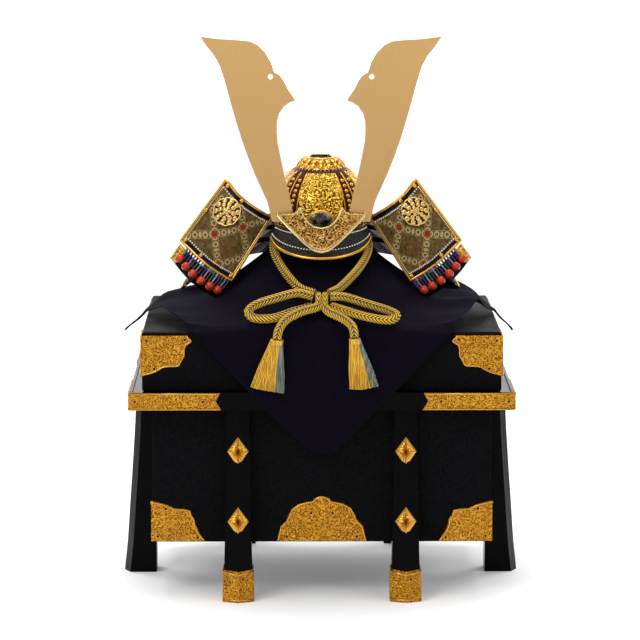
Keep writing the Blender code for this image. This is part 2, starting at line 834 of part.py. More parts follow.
def build_bowl(iron, gilt, dark):
    frame = bpy.data.objects.new("bowl_frame", None)
    bpy.context.scene.collection.objects.link(frame)
    frame.location = (0, 0, BOWL_BASE)
    frame.rotation_euler = (HELMET_TILT, 0, 0)

    outer = [(bowl_radius(share), BOWL_HEIGHT * share) for share, _ in BOWL_PROFILE]
    inner = [
        (max(radius - BOWL_WALL, BOWL_WALL), height * (1 - BOWL_WALL / BOWL_HEIGHT))
        for radius, height in outer[::2]
    ]
    inner[-1] = (outer[-1][0], inner[-1][1])
    bowl = spun("bowl", outer[::-1] + inner, iron, parent=frame)
    bowl.scale = (1, BOWL_DEPTH_SHARE, 1)

    def seat_height(radius):
        rows = [(-r, h) for r, h in outer]
        return between(rows, -radius)

    span = CROWN_RADIUS - CROWN_HOLE_RADIUS
    top = BOWL_HEIGHT + SEAT_GAP
    crown = [
        (CROWN_HOLE_RADIUS + span * along, top + CROWN_HEIGHT * (up - along))
        for along, up in CROWN_PROFILE
    ]
    under = [
        (CROWN_HOLE_RADIUS + span * along, seat_height(CROWN_HOLE_RADIUS + span * along) + SEAT_GAP)
        for along, _ in CROWN_PROFILE[::-1]
    ]
    ring = spun("crown_ring", crown + under, gilt, parent=frame)
    ring.scale = (1, BOWL_DEPTH_SHARE, 1)

    rows = []
    for share, angle in FRONT_PLATE_LEVELS:
        radius = bowl_radius(share) + FRONT_PLATE_STANDOFF
        row = []
        for k in range(FRONT_PLATE_STEPS + 1):
            turn = angle * (2 * k / FRONT_PLATE_STEPS - 1)
            row.append(
                (
                    radius * sin(turn),
                    -radius * BOWL_DEPTH_SHARE * cos(turn),
                    BOWL_HEIGHT * share + SEAT_GAP,
                )
            )
        rows.append(row)
    plate = add_object("bowl_front_plate", sheet("bowl_front_plate", rows), gilt, True, frame)
    face_front(plate.data)
    thicken(plate, FRONT_PLATE_THICKNESS, 1.0)

    stone = bpy.data.meshes.new("crest_boss")
    shape = bmesh.new()
    bmesh.ops.create_uvsphere(
        shape, u_segments=ROUND_STEPS // 2, v_segments=ROUND_STEPS // 4, radius=1.0
    )
    bmesh.ops.scale(
        shape, vec=(BOSS_HALF_WIDTH, CREST_BOSS_DEPTH / 2, BOSS_HALF_HEIGHT), verts=shape.verts
    )
    shape.to_mesh(stone)
    shape.free()
    boss = add_object("crest_boss", stone, dark, True, frame)
    face = (bowl_radius(CREST_BOSS_HEIGHT_SHARE) + FRONT_PLATE_STANDOFF) * BOWL_DEPTH_SHARE
    off = face + FRONT_PLATE_THICKNESS + SEAT_GAP + CREST_BOSS_DEPTH / 2
    boss.location = (0, -off, CREST_BOSS_HEIGHT_SHARE * BOWL_HEIGHT)


def face_front(mesh):
    """Turns a sheet so that its first side looks to the front."""
    total = sum((face.normal * face.area for face in mesh.polygons), Vector())
    if total.y > 0:
        mesh.flip_normals()


# Visor, crest holder and horns
def visor_lip(turn):
    """A point of the visor's lip; turn runs from -90 to 90 degrees about the helmet's front."""
    fall = 1 - cos(turn)
    return (
        VISOR_HALF_WIDTH * sin(turn),
        VISOR_CENTRE_Y - VISOR_FORWARD * cos(turn),
        visor_lip_height + VISOR_LIP_RISE * fall,
    )


def build_visor(leather):
    inner, lip = [], []
    for k in range(VISOR_STEPS + 1):
        share = 2 * k / VISOR_STEPS - 1
        turn = share * VISOR_ANGLE
        y = -visor_inner_radius * BOWL_DEPTH_SHARE * cos(turn)
        inner.append(
            (visor_inner_radius * sin(turn), y, BOWL_BASE + VISOR_ROOT_RISE + NECK_TILT * y)
        )
        lip.append(visor_lip(share * pi / 2))
    middle = [tuple((a + b) / 2 for a, b in zip(p, q)) for p, q in zip(inner, lip)]
    visor = add_object("visor", sheet("visor", [inner, middle, lip]), leather, True)
    thicken(visor, VISOR_THICKNESS)


def holder_point(x, share):
    """A point on the crest holder: x across, share of its depth up from the tip."""
    bow = (x / HOLDER_HALF_WIDTH) ** 2
    return (
        x,
        HOLDER_FRONT_Y + HOLDER_SWEEP * bow + HOLDER_LEAN * share,
        holder_top - HOLDER_DEPTH * (1 - share),
    )


def build_crest(brass, gilt):
    rows = []
    middle = 1 / 2
    for side in (-1, 1):
        table = HOLDER_EDGES[::-1] if side < 0 else HOLDER_EDGES[1:]
        for across, upper, lower in table:
            x = side * across * HOLDER_HALF_WIDTH
            rows.append([holder_point(x, lower + (upper - lower) * t) for t in (0, middle, 1)])
    holder = add_object("crest_holder", sheet("crest_holder", rows), brass, True)
    face_front(holder.data)
    thicken(holder, HOLDER_THICKNESS, 1.0)

    for side, name in ((-1, "horn_left"), (1, "horn_right")):
        horn = add_object(name, skin(name, horn_loops(side)), gilt)
        hole = cutter_for(side, name)
        cut = horn.modifiers.new("hole", "BOOLEAN")
        cut.operation = "DIFFERENCE"
        cut.solver = "EXACT"
        cut.object = hole


def horn_point(side, across, up, depth):
    """A point of a horn; depth is behind its front face."""
    x = HORN_REACH * across
    inner = HORN_REACH * HORN_OUTLINE[-1][0]
    seat = holder_point(HOLDER_HALF_WIDTH, 1)[1] + SEAT_GAP
    start = seat - (HOLDER_HALF_WIDTH - inner) * tan(HORN_YAW)
    y = start + (x - inner) * tan(HORN_YAW) + HORN_HEIGHT * max(up, 0) * tan(HORN_LEAN)
    return (side * x, y + depth, horn_foot + HORN_HEIGHT * up)


def horn_loops(side):
    depth = HORN_THICKNESS / cos(HORN_YAW)
    return [
        [horn_point(side, across, up, back) for across, up in HORN_OUTLINE] for back in (0, depth)
    ]


def cutter_for(side, name):
    mesh = bpy.data.meshes.new(f"{name}_cutter")
    shape = bmesh.new()
    bmesh.ops.create_cone(
        shape,
        cap_ends=True,
        segments=ROUND_STEPS // 2,
        radius1=HORN_HOLE_RADIUS,
        radius2=HORN_HOLE_RADIUS,
        depth=10 * HORN_THICKNESS,
    )
    shape.to_mesh(mesh)
    shape.free()
    cutter = bpy.data.objects.new(f"{name}_cutter", mesh)
    bpy.context.scene.collection.objects.link(cutter)
    cutter.location = horn_point(side, *HORN_HOLE_AT, HORN_THICKNESS / 2)
    cutter.rotation_euler = (pi / 2, 0, 0)
    cutter.hide_render = True
    cutter.display_type = "WIRE"
    return cutter


# Neck guard and its turned-back wings
def neck_point(radius, turn, under):
    """A point on the neck guard's cone; turn is from the back, under is how far below the skin."""
    first = NECK_PLATES[0][0]
    behind = max(0.0, cos(turn))
    out = (radius - first) * (1 - (1 - NECK_BACK_SHARE) * behind)
    depth = first * (1 + (BOWL_DEPTH_SHARE - 1) * behind) + out
    x, y = radius * sin(turn), depth * cos(turn)
    return Vector((x, y, NECK_TOP - NECK_SLOPE * out + NECK_TILT * y - under))


def build_neck_guard(iron, leather, gilt):
    wings = (WING_EDGES, LOWER_WING_EDGES, None)
    for number, (inner, outer, gap_angle) in enumerate(NECK_PLATES, start=1):
        reach = pi - gap_angle
        under = (number - 1) * (NECK_THICKNESS + 2 * SEAT_GAP) / cos(atan2(NECK_SLOPE, 1))
        tuck = NECK_TUCK if number > 1 else 0.0
        fold = wings[number - 1]
        rows = []
        for k in range(NECK_STEPS + 1):
            turn = reach * (2 * k / NECK_STEPS - 1)
            row = [neck_point(inner - tuck, turn, under), neck_point(outer, turn, under)]
            if fold:
                side = 1 if turn > 0 else -1
                back = (WING_THICKNESS + NECK_THICKNESS) / 2 + SEAT_GAP
                blend = smoothstep(reach - NECK_BLEND, reach, abs(turn))
                ends = [Vector((side * x, y + back, z)) for x, y, z in (fold[0][:3], fold[0][3:])]
                row = [point.lerp(end, blend) for point, end in zip(row, ends)]
            rows.append(row)
        name = f"neck_plate_{number}"
        thicken(add_object(name, sheet(name, rows), iron, True), NECK_THICKNESS)

    for side, word in ((-1, "left"), (1, "right")):
        for table, name in (
            (WING_EDGES, f"turn_back_{word}"),
            (LOWER_WING_EDGES, f"lower_turn_back_{word}"),
        ):
            wing = add_object(name, sheet(name, wing_rows(table, side)), leather, True)
            thicken(wing, WING_THICKNESS)
        build_roundel(side, f"roundel_{word}", gilt)


def wing_point(table, side, out, down):
    """A point of a wing's middle surface, by shares of the way out and down."""
    place = out * (len(table) - 1)
    low = min(int(place), len(table) - 2)
    row = [a + (b - a) * (place - low) for a, b in zip(table[low], table[low + 1])]
    x, y, z = (row[k] + (row[k + 3] - row[k]) * down for k in range(3))
    return Vector((side * x, y - WING_BULGE * sin(pi * down) * sin(pi * out) ** 2, z))


def wing_rows(table, side):
    steps = len(table) - 1
    return [
        [wing_point(table, side, k / steps, row / WING_ROWS) for k in range(steps + 1)]
        for row in range(WING_ROWS + 1)
    ]


def build_roundel(side, name, gilt):
    """A lobed disc seated on the wing's face."""
    out, down = ROUNDEL_AT
    step = 1 / 10
    spot = wing_point(WING_EDGES, side, out, down)
    along = wing_point(WING_EDGES, side, out + step, down) - wing_point(WING_EDGES, side, out - step, down)
    fall = wing_point(WING_EDGES, side, out, down + step) - wing_point(WING_EDGES, side, out, down - step)
    normal = along.cross(fall).normalized()
    if normal.y > 0:
        normal = -normal
    loops = []
    count = 4 * ROUNDEL_PETALS
    for depth in (0.0, ROUNDEL_THICKNESS):
        loop = []
        for k in range(count):
            turn = 2 * pi * k / count
            radius = ROUNDEL_RADIUS * (1 + ROUNDEL_SCALLOP * cos(ROUNDEL_PETALS * turn))
            loop.append((radius * cos(turn), radius * sin(turn), depth))
        loops.append(loop)
    disc = add_object(name, skin(name, loops), gilt)
    disc.rotation_mode = "QUATERNION"
    disc.rotation_quaternion = normal.to_track_quat("Z", "Y")
    disc.location = spot + normal * (WING_THICKNESS / 2 + 2 * SEAT_GAP)


# Post and cloth
def build_post(wood):
    foot = lid_top + SEAT_GAP
    profile = [(POST_HEAD_RADIUS * wide, post_top - POST_HEAD_HEIGHT * down) for wide, down in POST_HEAD]
    profile += [
        (POST_RADIUS, post_top - POST_HEAD_HEIGHT),
        (POST_RADIUS, foot + 2 * POST_BASE_HEIGHT),
        (POST_BASE_RADIUS, foot + POST_BASE_HEIGHT),
        (POST_BASE_RADIUS, foot),
        (0.0, foot),
    ]
    mesh = bpy.data.meshes.new("stand_post")
    mesh.from_pydata(
        [(radius, 0, height) for radius, height in profile],
        [(k, k + 1) for k in range(len(profile) - 1)],
        [],
    )
    post = add_object("stand_post", mesh, wood)
    turned = post.modifiers.new("turned", "SCREW")
    turned.steps = ROUND_STEPS // 2
    turned.render_steps = ROUND_STEPS // 2
    turned.use_merge_vertices = True
    turned.merge_threshold = SEAT_GAP / 10


def tent_height(radius):
    return (cloth_top - lid_top) * between(CLOTH_TENT, radius)


def over_edge(length, radius, angle):
    """Where a cloth gets to beyond an edge: outwards and down, by its length past the bend's start."""
    bend = min(length, radius * angle)
    rest = length - bend
    turn = bend / radius
    return (
        radius * sin(turn) + rest * cos(turn),
        radius * (1 - cos(turn)) + rest * sin(turn),
    )


def bend_of(flat):
    """Where the cloth bends over the lid's edges: the places along x and y, and the flap's angle."""
    flap = next(row for row in CLOTH_FLAPS if row[0] == (1 if flat.x >= 0 else -1))
    across = lid_half_width + CLOTH_EDGE_STANDOFF - CLOTH_EDGE_RADIUS * sin(flap[2])
    along = lid_half_depth + CLOTH_EDGE_STANDOFF - CLOTH_EDGE_RADIUS * sin(CLOTH_HANG_ANGLE)
    return across, along, flap[2]


def crossings(start, end):
    """Shares of a line on the flat plan at which it crosses the steps of a bend."""
    across, along, angle = bend_of((start + end) / 2)
    found = []
    for low, high, edge, arc in (
        (abs(start.x), abs(end.x), across, angle),
        (abs(start.y), abs(end.y), along, CLOTH_HANG_ANGLE),
    ):
        for step in range(CLOTH_BEND_STEPS + 1):
            level = edge + CLOTH_EDGE_RADIUS * arc * step / CLOTH_BEND_STEPS
            if min(low, high) + SEAT_GAP < level < max(low, high) - SEAT_GAP:
                found.append((level - low) / (high - low))
    return sorted(found)


def hem_points(side, front):
    """The hem of one quarter of the cloth, flat on the plane of the lid, from the tip to the flap."""
    flap = next(row for row in CLOTH_FLAPS if row[0] == side)
    bend_x, bend_y, _ = bend_of(Vector((side, 0)))
    corners = []
    for across, along, hang, _ in CLOTH_HEM:
        x, y = across * bend_x, along * bend_y
        if across == 0:
            y += CLOTH_FRONT_FALL * hang
        elif along == 0:
            x += flap[1] * hang
            y = -front * FLAP_ALONG
        corners.append(Vector((side * x, -front * y)))
    found = []
    for start, end, row in zip(corners, corners[1:], CLOTH_HEM):
        shares = [0.0, *crossings(start, end), *(k / row[3] for k in range(1, row[3]))]
        found += [start.lerp(end, share) for share in sorted(shares)]
    return found, corners[-1]


def cloth_point(flat, out):
    """The cloth in space above a point of its flat plan; out runs from 0 at the tent to 1 at the hem."""
    side = 1 if flat.x >= 0 else -1
    puff = next(row for row in CLOTH_FLAPS if row[0] == side)[3]
    away_x = (abs(flat.x) - PUFF_MIDDLE[0]) / PUFF_REACH[0]
    away_y = (flat.y - PUFF_MIDDLE[1]) / PUFF_REACH[1]
    rise = puff * exp(-(away_x**2) - away_y**2) * (1 - smoothstep(PUFF_FADE, 1.0, out))
    turn = atan2(flat.y, flat.x)
    ripple = (1 + cos(4 * CLOTH_FOLDS_PER_QUARTER * turn)) / 2
    fold = CLOTH_FOLD_HEIGHT * ripple * smoothstep(0, 1 - PUFF_FADE, out)
    x, y = flat.x, flat.y
    height = lid_top + CLOTH_GAP + tent_height(flat.length) + rise + fold
    across, along, angle = bend_of(flat)
    if abs(x) > across:
        away, down = over_edge(abs(x) - across, CLOTH_EDGE_RADIUS, angle)
        x, height = side * (across + away), height - down
    if abs(y) > along:
        away, down = over_edge(abs(y) - along, CLOTH_EDGE_RADIUS, CLOTH_HANG_ANGLE)
        y = (1 if y > 0 else -1) * (min(along + away, cloth_wall) + fold)
        height -= down
    return (x, y, height)


def ring_shares(start, hem):
    """Shares of the way from the tent to the hem, with rings where the cloth bends."""
    length = (hem - start).length
    bend = crossings(start, hem)
    bend += [1.0] * (CLOTH_BEND_STEPS + 1 - len(bend))
    shares = [bend[0] * k / CLOTH_RINGS_TO_EDGE for k in range(1, CLOTH_RINGS_TO_EDGE + 1)]
    shares += bend[1:]
    rest = 1 - bend[-1]
    _, along, _ = bend_of(hem)
    hanging = cloth_wall - along - CLOTH_EDGE_RADIUS * sin(CLOTH_HANG_ANGLE)
    settled = hanging / cos(CLOTH_HANG_ANGLE) / max(abs(hem.y - start.y), CLOTH_GAP)
    shares += [bend[-1] + min(settled, rest * CLOTH_LAST_KINK), 1.0]
    space = CLOTH_RING_SPACE / length
    return [min(share, 1 - space * (len(shares) - 1 - k)) for k, share in enumerate(shares)]


def build_cloth(wool):
    hem = []
    for side, front in ((-1, 1), (-1, -1), (1, -1), (1, 1)):
        quarter, tip = hem_points(side, front)
        if side * front > 0:
            quarter = [tip, *quarter[:0:-1]]
        hem += quarter
    radii = [row[0] for row in CLOTH_TENT[:CLOTH_TENT_RINGS]]
    loops = []
    count = len(hem)
    for radius in radii:
        loop = []
        for point in hem:
            flat = point.normalized() * radius
            loop.append(cloth_point(flat, 0.0))
        loops.append(loop)
    rays = []
    for point in hem:
        start = point.normalized() * radii[-1]
        rays.append([cloth_point(start.lerp(point, out), out) for out in ring_shares(start, point)])
    loops += [list(ring) for ring in zip(*rays)]
    points = [point for loop in loops for point in loop] + [(0, 0, cloth_top + CLOTH_GAP)]
    faces = []
    for row in range(len(loops) - 1):
        for k in range(count):
            after = (k + 1) % count
            faces.append(
                (row * count + k, row * count + after, (row + 1) * count + after, (row + 1) * count + k)
            )
    faces += [((k + 1) % count, k, len(points) - 1) for k in range(count)]
    cloth = add_object("cloth", mesh_of("cloth", points, faces), wool, True)
    total = sum((face.normal * face.area for face in cloth.data.polygons), Vector())
    if total.z < 0:
        cloth.data.flip_normals()
    thicken(cloth, CLOTH_THICKNESS, 1.0, even=False)


# Cord, knot and tassels
def build_cord(silk):
    for name, route in (
        ("chin_cord", CHIN_CORD_ROUTE),
        ("bow_loop_left", LEFT_LOOP_ROUTE),
        ("bow_loop_right", RIGHT_LOOP_ROUTE),
        ("cord_tail_left", LEFT_TAIL_ROUTE),
        ("cord_tail_right", RIGHT_TAIL_ROUTE),
    ):
        tube(name, route, silk)

    centre = Vector(KNOT_CENTRE)
    loops = []
    for across, size in KNOT_WRAPS:
        loop = []
        for k in range(KNOT_SIDES):
            turn = 2 * pi * k / KNOT_SIDES
            loop.append(
                centre
                + Vector(
                    (across, KNOT_HALF_DEPTH * size * cos(turn), KNOT_HALF_HEIGHT * size * sin(turn))
                )
            )
        loops.append(loop)
    add_object("cord_knot", skin("cord_knot", loops), silk, True)

    tails = (LEFT_TAIL_ROUTE, RIGHT_TAIL_ROUTE)
    for (name, half_width, drift), route in zip(TASSELS, tails):
        top = Vector(route[-1])
        way = (top - Vector(route[-2])).normalized()
        top += way * (SEAT_GAP + cord_radius * hypot(way.x, way.y))
        end = top + Vector((drift, TASSEL_Y_DRIFT, -TASSEL_LENGTH * cos(atan2(abs(drift), TASSEL_LENGTH))))
        loops = []
        count = 2 * TASSEL_LOCKS
        for share, wide, deep in TASSEL_LEVELS:
            middle = top.lerp(end, share)
            loop = []
            for k in range(count):
                turn = 2 * pi * k / count
                lock = 1 + TASSEL_LOCK_RELIEF * share * (1 if k % 2 else -1)
                loop.append(
                    (
                        middle.x + half_width * wide * lock * cos(turn),
                        middle.y + TASSEL_HALF_DEPTH * deep * lock * sin(turn),
                        middle.z + half_width * wide * cos(turn) * drift / TASSEL_LENGTH,
                    )
                )
            loops.append(loop)
        add_object(name, skin(name, loops), silk)


def main():
    clear_scene()
    lacquer = finish_of("black_lacquer", (0.010, 0.009, 0.009), 0.22)
    grained = finish_of("grained_black", (0.020, 0.020, 0.021), 0.45)
    gilt = finish_of("gilt_brass", (0.70, 0.42, 0.09), 0.30, 1.0)
    champagne = finish_of("satin_gilt", (0.72, 0.50, 0.25), 0.38, 1.0)
    pale = finish_of("pale_brass", (0.66, 0.47, 0.22), 0.32, 1.0)
    hide = finish_of("printed_leather", (0.15, 0.10, 0.05), 0.60)
    wool = finish_of("navy_wool", (0.010, 0.008, 0.020), 0.95)
    silk = finish_of("gold_silk", (0.62, 0.40, 0.06), 0.55)
    stone = finish_of("polished_black", (0.03, 0.025, 0.02), 0.10)
    plain = finish_of("plain_wood", (0.35, 0.25, 0.15), 0.70)

    build_chest(lacquer, grained, gilt)
    build_post(plain)
    build_cloth(wool)
    build_bowl(gilt, gilt, stone)
    build_visor(hide)
    build_crest(pale, champagne)
    build_neck_guard(lacquer, hide, gilt)
    build_cord(silk)


main()
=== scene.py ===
"""Dresses a packed kabuto display: helmet, cord, draped cloth and legged chest, lit as in a studio."""

import logging
import math
from dataclasses import dataclass
from enum import Enum
from functools import partialmethod

import bpy
from mathutils import Matrix, Vector, noise


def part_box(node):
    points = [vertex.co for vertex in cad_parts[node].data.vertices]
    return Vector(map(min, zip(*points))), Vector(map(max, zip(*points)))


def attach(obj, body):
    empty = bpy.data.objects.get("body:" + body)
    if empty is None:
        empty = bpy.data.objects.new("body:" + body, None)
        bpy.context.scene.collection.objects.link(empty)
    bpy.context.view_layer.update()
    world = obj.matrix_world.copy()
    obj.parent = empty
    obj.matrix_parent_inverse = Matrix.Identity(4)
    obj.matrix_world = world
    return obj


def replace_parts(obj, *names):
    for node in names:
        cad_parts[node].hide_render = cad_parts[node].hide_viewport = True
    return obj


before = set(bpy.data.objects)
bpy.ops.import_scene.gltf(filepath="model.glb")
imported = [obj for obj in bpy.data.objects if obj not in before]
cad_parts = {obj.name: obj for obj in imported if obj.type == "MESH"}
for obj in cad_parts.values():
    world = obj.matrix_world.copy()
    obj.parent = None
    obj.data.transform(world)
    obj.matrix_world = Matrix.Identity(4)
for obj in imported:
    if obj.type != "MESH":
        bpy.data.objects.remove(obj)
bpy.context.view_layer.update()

LOG = logging.getLogger("kabuto")
BODY = "root"
FULL_TURN = 2 * math.pi
FRONT = Vector((0, -1, 0))
UP = Vector((0, 0, 1))
# The first side of a tube faces the viewer, who looks down a little
VIEWER = Vector((0, -1, 0.3))
SIDES = ((-1, "left"), (1, "right"))
LETTERS = ((-1, "l"), (1, "r"))
# Distance between a braid's strands along the cord, and its columns of strands round the cord
BRAID_PITCH = 0.0034
BRAID_COLUMNS = 4
# Pitches that a strand climbs across one column, which is about 45 degrees
BRAID_LEAN = 1.9
Point = tuple[float, float, float]
Socket = bpy.types.NodeSocket
Material = bpy.types.Material
Piece = bpy.types.Object


class Slot(Enum):
    """The record's material slot names."""

    GILT = "gilt_brass"
    PALE = "pale_brass"
    HIDE = "printed_leather"
    WOOL = "navy_wool"
    SILK = "gold_silk"
    STONE = "polished_black"


# ---- Colours and shader graphs


def linear(hex_colour: str) -> tuple[float, float, float, float]:
    """Turns an sRGB hex colour into a linear one.

    Args:
        hex_colour: Six hex digits, with or without a leading hash.

    Returns:
        Linear red, green, blue and an alpha of 1.
    """
    digits = hex_colour.lstrip("#")
    parts = [int(digits[k : k + 2], 16) / 255 for k in (0, 2, 4)]
    bent = [c / 12.92 if c <= 0.04045 else ((c + 0.055) / 1.055) ** 2.4 for c in parts]
    return (*bent, 1.0)


class Graph:
    """A material's node tree, with short calls that add a node with its settings and links."""

    def __init__(self, name: str) -> None:
        """Makes an empty Principled material.

        Args:
            name: The material's name.
        """
        self.material = bpy.data.materials.new(name)
        self.material.use_nodes = True
        self.tree = self.material.node_tree
        self.shader = self.tree.nodes["Principled BSDF"]

    def add(self, kind: str, inputs: dict | None = None, **settings: object) -> bpy.types.Node:
        """Adds a node.

        Args:
            kind: The node's type without the ShaderNode prefix.
            inputs: Values or sockets by input name or number.
            **settings: Properties of the node.

        Returns:
            The new node.
        """
        made = self.tree.nodes.new("ShaderNode" + kind)
        for key, value in settings.items():
            setattr(made, key, value)
        for key, value in (inputs or {}).items():
            self.put(made.inputs[key], value)
        return made

    def put(self, socket: Socket, value: object) -> None:
        """Links a socket to an input, or sets the input's value."""
        if isinstance(value, Socket):
            self.tree.links.new(value, socket)
        else:
            socket.default_value = value

    def set(self, **inputs: object) -> None:
        """Sets or links inputs of the Principled shader; underscores stand for spaces."""
        for key, value in inputs.items():
            self.put(self.shader.inputs[key.replace("_", " ")], value)

    def math(self, operation: str, first: object, second: object = 0.0) -> Socket:
        """Adds a math node and returns its value."""
        return self.add("Math", {0: first, 1: second}, operation=operation).outputs[0]

    # Math nodes by plain names, used like math() without the operation
    plus = partialmethod(math, "ADD")
    minus = partialmethod(math, "SUBTRACT")
    times = partialmethod(math, "MULTIPLY")
    below = partialmethod(math, "LESS_THAN")
    above = partialmethod(math, "GREATER_THAN")
    larger = partialmethod(math, "MAXIMUM")
    smaller = partialmethod(math, "MINIMUM")
    fold = partialmethod(math, "PINGPONG")
    power = partialmethod(math, "POWER")
    magnitude = partialmethod(math, "ABSOLUTE")
    wave = partialmethod(math, "SINE")

    def reach(self, first: object, second: object) -> Socket:
        """The length of a pair of distances at right angles."""
        return self.math("SQRT", self.plus(self.power(first, 2.0), self.power(second, 2.0)))

    def vector(self, operation: str, first: object, second: object) -> Socket:
        """Adds a vector math node and returns its vector."""
        return self.add("VectorMath", {0: first, 1: second}, operation=operation).outputs[0]

    def place(self) -> Socket:
        """Returns the object coordinates, in metres."""
        return self.add("TexCoord").outputs["Object"]

    def uv(self) -> tuple[Socket, Socket]:
        """Returns the two UV coordinates."""
        apart = self.add("SeparateXYZ", {0: self.add("TexCoord").outputs["UV"]})
        return apart.outputs[0], apart.outputs[1]

    def cloud(self, at: object, scale: float, detail: float = 3.0, rough: float = 0.5) -> Socket:
        """Adds a noise texture and returns its value."""
        inputs = {"Vector": at, "Scale": scale, "Detail": detail, "Roughness": rough}
        return self.add("TexNoise", inputs).outputs["Fac"]

    def cells(self, at: object, scale: float, feature: str = "SMOOTH_F1") -> Socket:
        """Adds a cell texture and returns the distance from each cell's centre."""
        inputs = {"Vector": at, "Scale": scale}
        return self.add("TexVoronoi", inputs, feature=feature).outputs["Distance"]

    def ramp(self, value: object, stops: tuple[tuple[float, str], ...]) -> Socket:
        """Adds a colour ramp through hex colours and returns its colour."""
        made = self.add("ValToRGB", {"Fac": value})
        band = made.color_ramp
        while len(band.elements) < len(stops):
            band.elements.new(0.5)
        for element, (spot, shade) in zip(band.elements, stops):
            element.position = spot
            element.color = linear(shade)
        return made.outputs["Color"]

    def mix(self, share: object, first: object, second: object) -> Socket:
        """Mixes two colours, each a hex colour or a socket, by a share."""
        made = self.add("Mix", data_type="RGBA")
        self.put(made.inputs["Factor"], share)
        for number, colour in ((6, first), (7, second)):
            self.put(made.inputs[number], linear(colour) if isinstance(colour, str) else colour)
        return made.outputs[2]

    def span(self, value: object, low: float, high: float, to_low: float, to_high: float) -> Socket:
        """Maps a value from one range to another, clamped."""
        inputs = {"Value": value, 1: low, 2: high, 3: to_low, 4: to_high}
        return self.add("MapRange", inputs).outputs[0]

    def tones(
        self, value: object, low: float, high: float, first: str, second: object, most: float = 1.0
    ) -> Socket:
        """Mixes two colours by where a value lies in a range.

        Args:
            value: The value, such as a noise.
            low: The value at which the first colour is pure.
            high: The value from which the second colour has its full share.
            first: The first colour.
            second: The second colour.
            most: The second colour's full share.

        Returns:
            The mixed colour.
        """
        return self.mix(self.span(value, low, high, 0.0, most), first, second)

    def bump(self, height: object, depth: float, strength: float, under: object = None) -> Socket:
        """Adds a bump of a depth in metres, over another one, and returns its normal."""
        inputs = {"Height": height, "Distance": depth, "Strength": strength}
        if under is not None:
            inputs["Normal"] = under
        return self.add("Bump", inputs).outputs["Normal"]


# ---- Finishes


@dataclass(frozen=True)
class GlossLacquer:
    """Deep gloss black lacquer over wood or iron."""

    name: str = "gloss_lacquer"
    shade: str = "#030303"
    dust: str = "#0A090A"
    roughness: float = 0.12

    def build(self) -> Material:
        """Returns the material: faint orange peel about 4 mm across, and fine dust."""
        g = Graph(self.name)
        at = g.place()
        dust = g.cloud(at, 35.0, 6.0, 0.7)
        g.set(
            Base_Color=g.tones(dust, 0.45, 0.8, self.shade, self.dust, 0.3),
            Roughness=g.span(dust, 0.3, 0.75, self.roughness, self.roughness + 0.14),
            Specular_IOR_Level=0.04,
            Normal=g.bump(g.cloud(at, 250.0, 1.0), 0.00004, 0.5),
        )
        return g.material


@dataclass(frozen=True)
class GrainedCover:
    """Fine grained black covering of the lid and the chest's faces."""

    name: str = "grained_cover"
    shade: str = "#060607"
    light: str = "#121214"
    roughness: float = 0.50

    def build(self) -> Material:
        """Returns the material: leather cells about 1.4 mm across with softer large variation."""
        g = Graph(self.name)
        at = g.place()
        cells = g.cells(at, 720.0)
        broad = g.cloud(at, 18.0, 4.0)
        g.set(
            Base_Color=g.tones(cells, 0.2, 0.7, self.light, self.shade, 0.8),
            Roughness=g.span(broad, 0.3, 0.7, self.roughness - 0.07, self.roughness + 0.10),
            Specular_IOR_Level=0.07,
            IOR=1.2,
            Normal=g.bump(cells, 0.00035, 0.8, g.bump(broad, 0.0004, 0.4)),
        )
        return g.material


@dataclass(frozen=True)
class ScrolledMetal:
    """Gilt metal with chased scrollwork, bright on the leaves and darkened with painted shade in the cuts.
    """

    name: str
    # Colours on the leaves, between them and in the cuts, where the dark one is painted shade
    bright: str
    middle: str
    dark: str
    # Distance between scroll centres, and depth of the cuts
    size: float
    depth: float
    roughness: float
    # Weight of the leaves beside that of the rings
    leaves: float

    def scrolls(self, g: Graph, at: Socket) -> Socket:
        """Scrollwork height: rings round scattered centres, bent by noise, as on engraved fittings.

        Args:
            g: The graph to add to.
            at: Coordinates in metres.

        Returns:
            The height, from 0 in the cut lines to 1 on the leaves.
        """
        inputs = {"Vector": at, "Scale": 1.3 / self.size, "Detail": 2.0}
        wobble = g.add("TexNoise", inputs).outputs["Color"]
        bent = g.vector("ADD", at, g.vector("MULTIPLY", wobble, (self.size * 0.55,) * 3))
        rings = g.wave(g.times(g.cells(bent, 1 / self.size, "F1"), 21.0))
        leaf = g.wave(g.times(g.cloud(bent, 1.5 / self.size, 0.0), 24.0))
        whole = 1.0 + self.leaves
        return g.span(
            g.plus(g.times(rings, 1.0 / whole), g.times(leaf, self.leaves / whole)), -0.7, 0.65, 0.0, 1.0
        )

    def build(self) -> Material:
        """Returns the material."""
        g = Graph(self.name)
        at = g.place()
        height = self.scrolls(g, at)
        wear = g.cloud(at, 45.0, 4.0)
        # Painted shade: the colour darkens from the leaves down into the cuts
        stops = ((0.0, self.dark), (0.34, self.middle), (0.8, self.bright), (1.0, self.bright))
        g.set(
            Base_Color=g.tones(wear, 0.45, 0.75, g.ramp(height, stops), self.middle, 0.35),
            Metallic=1.0,
            Roughness=g.span(wear, 0.3, 0.7, self.roughness, self.roughness + 0.16),
            Normal=g.bump(height, self.depth, 1.0, g.bump(g.cloud(at, 1400.0, 2.0), 0.00004, 0.5)),
        )
        return g.material


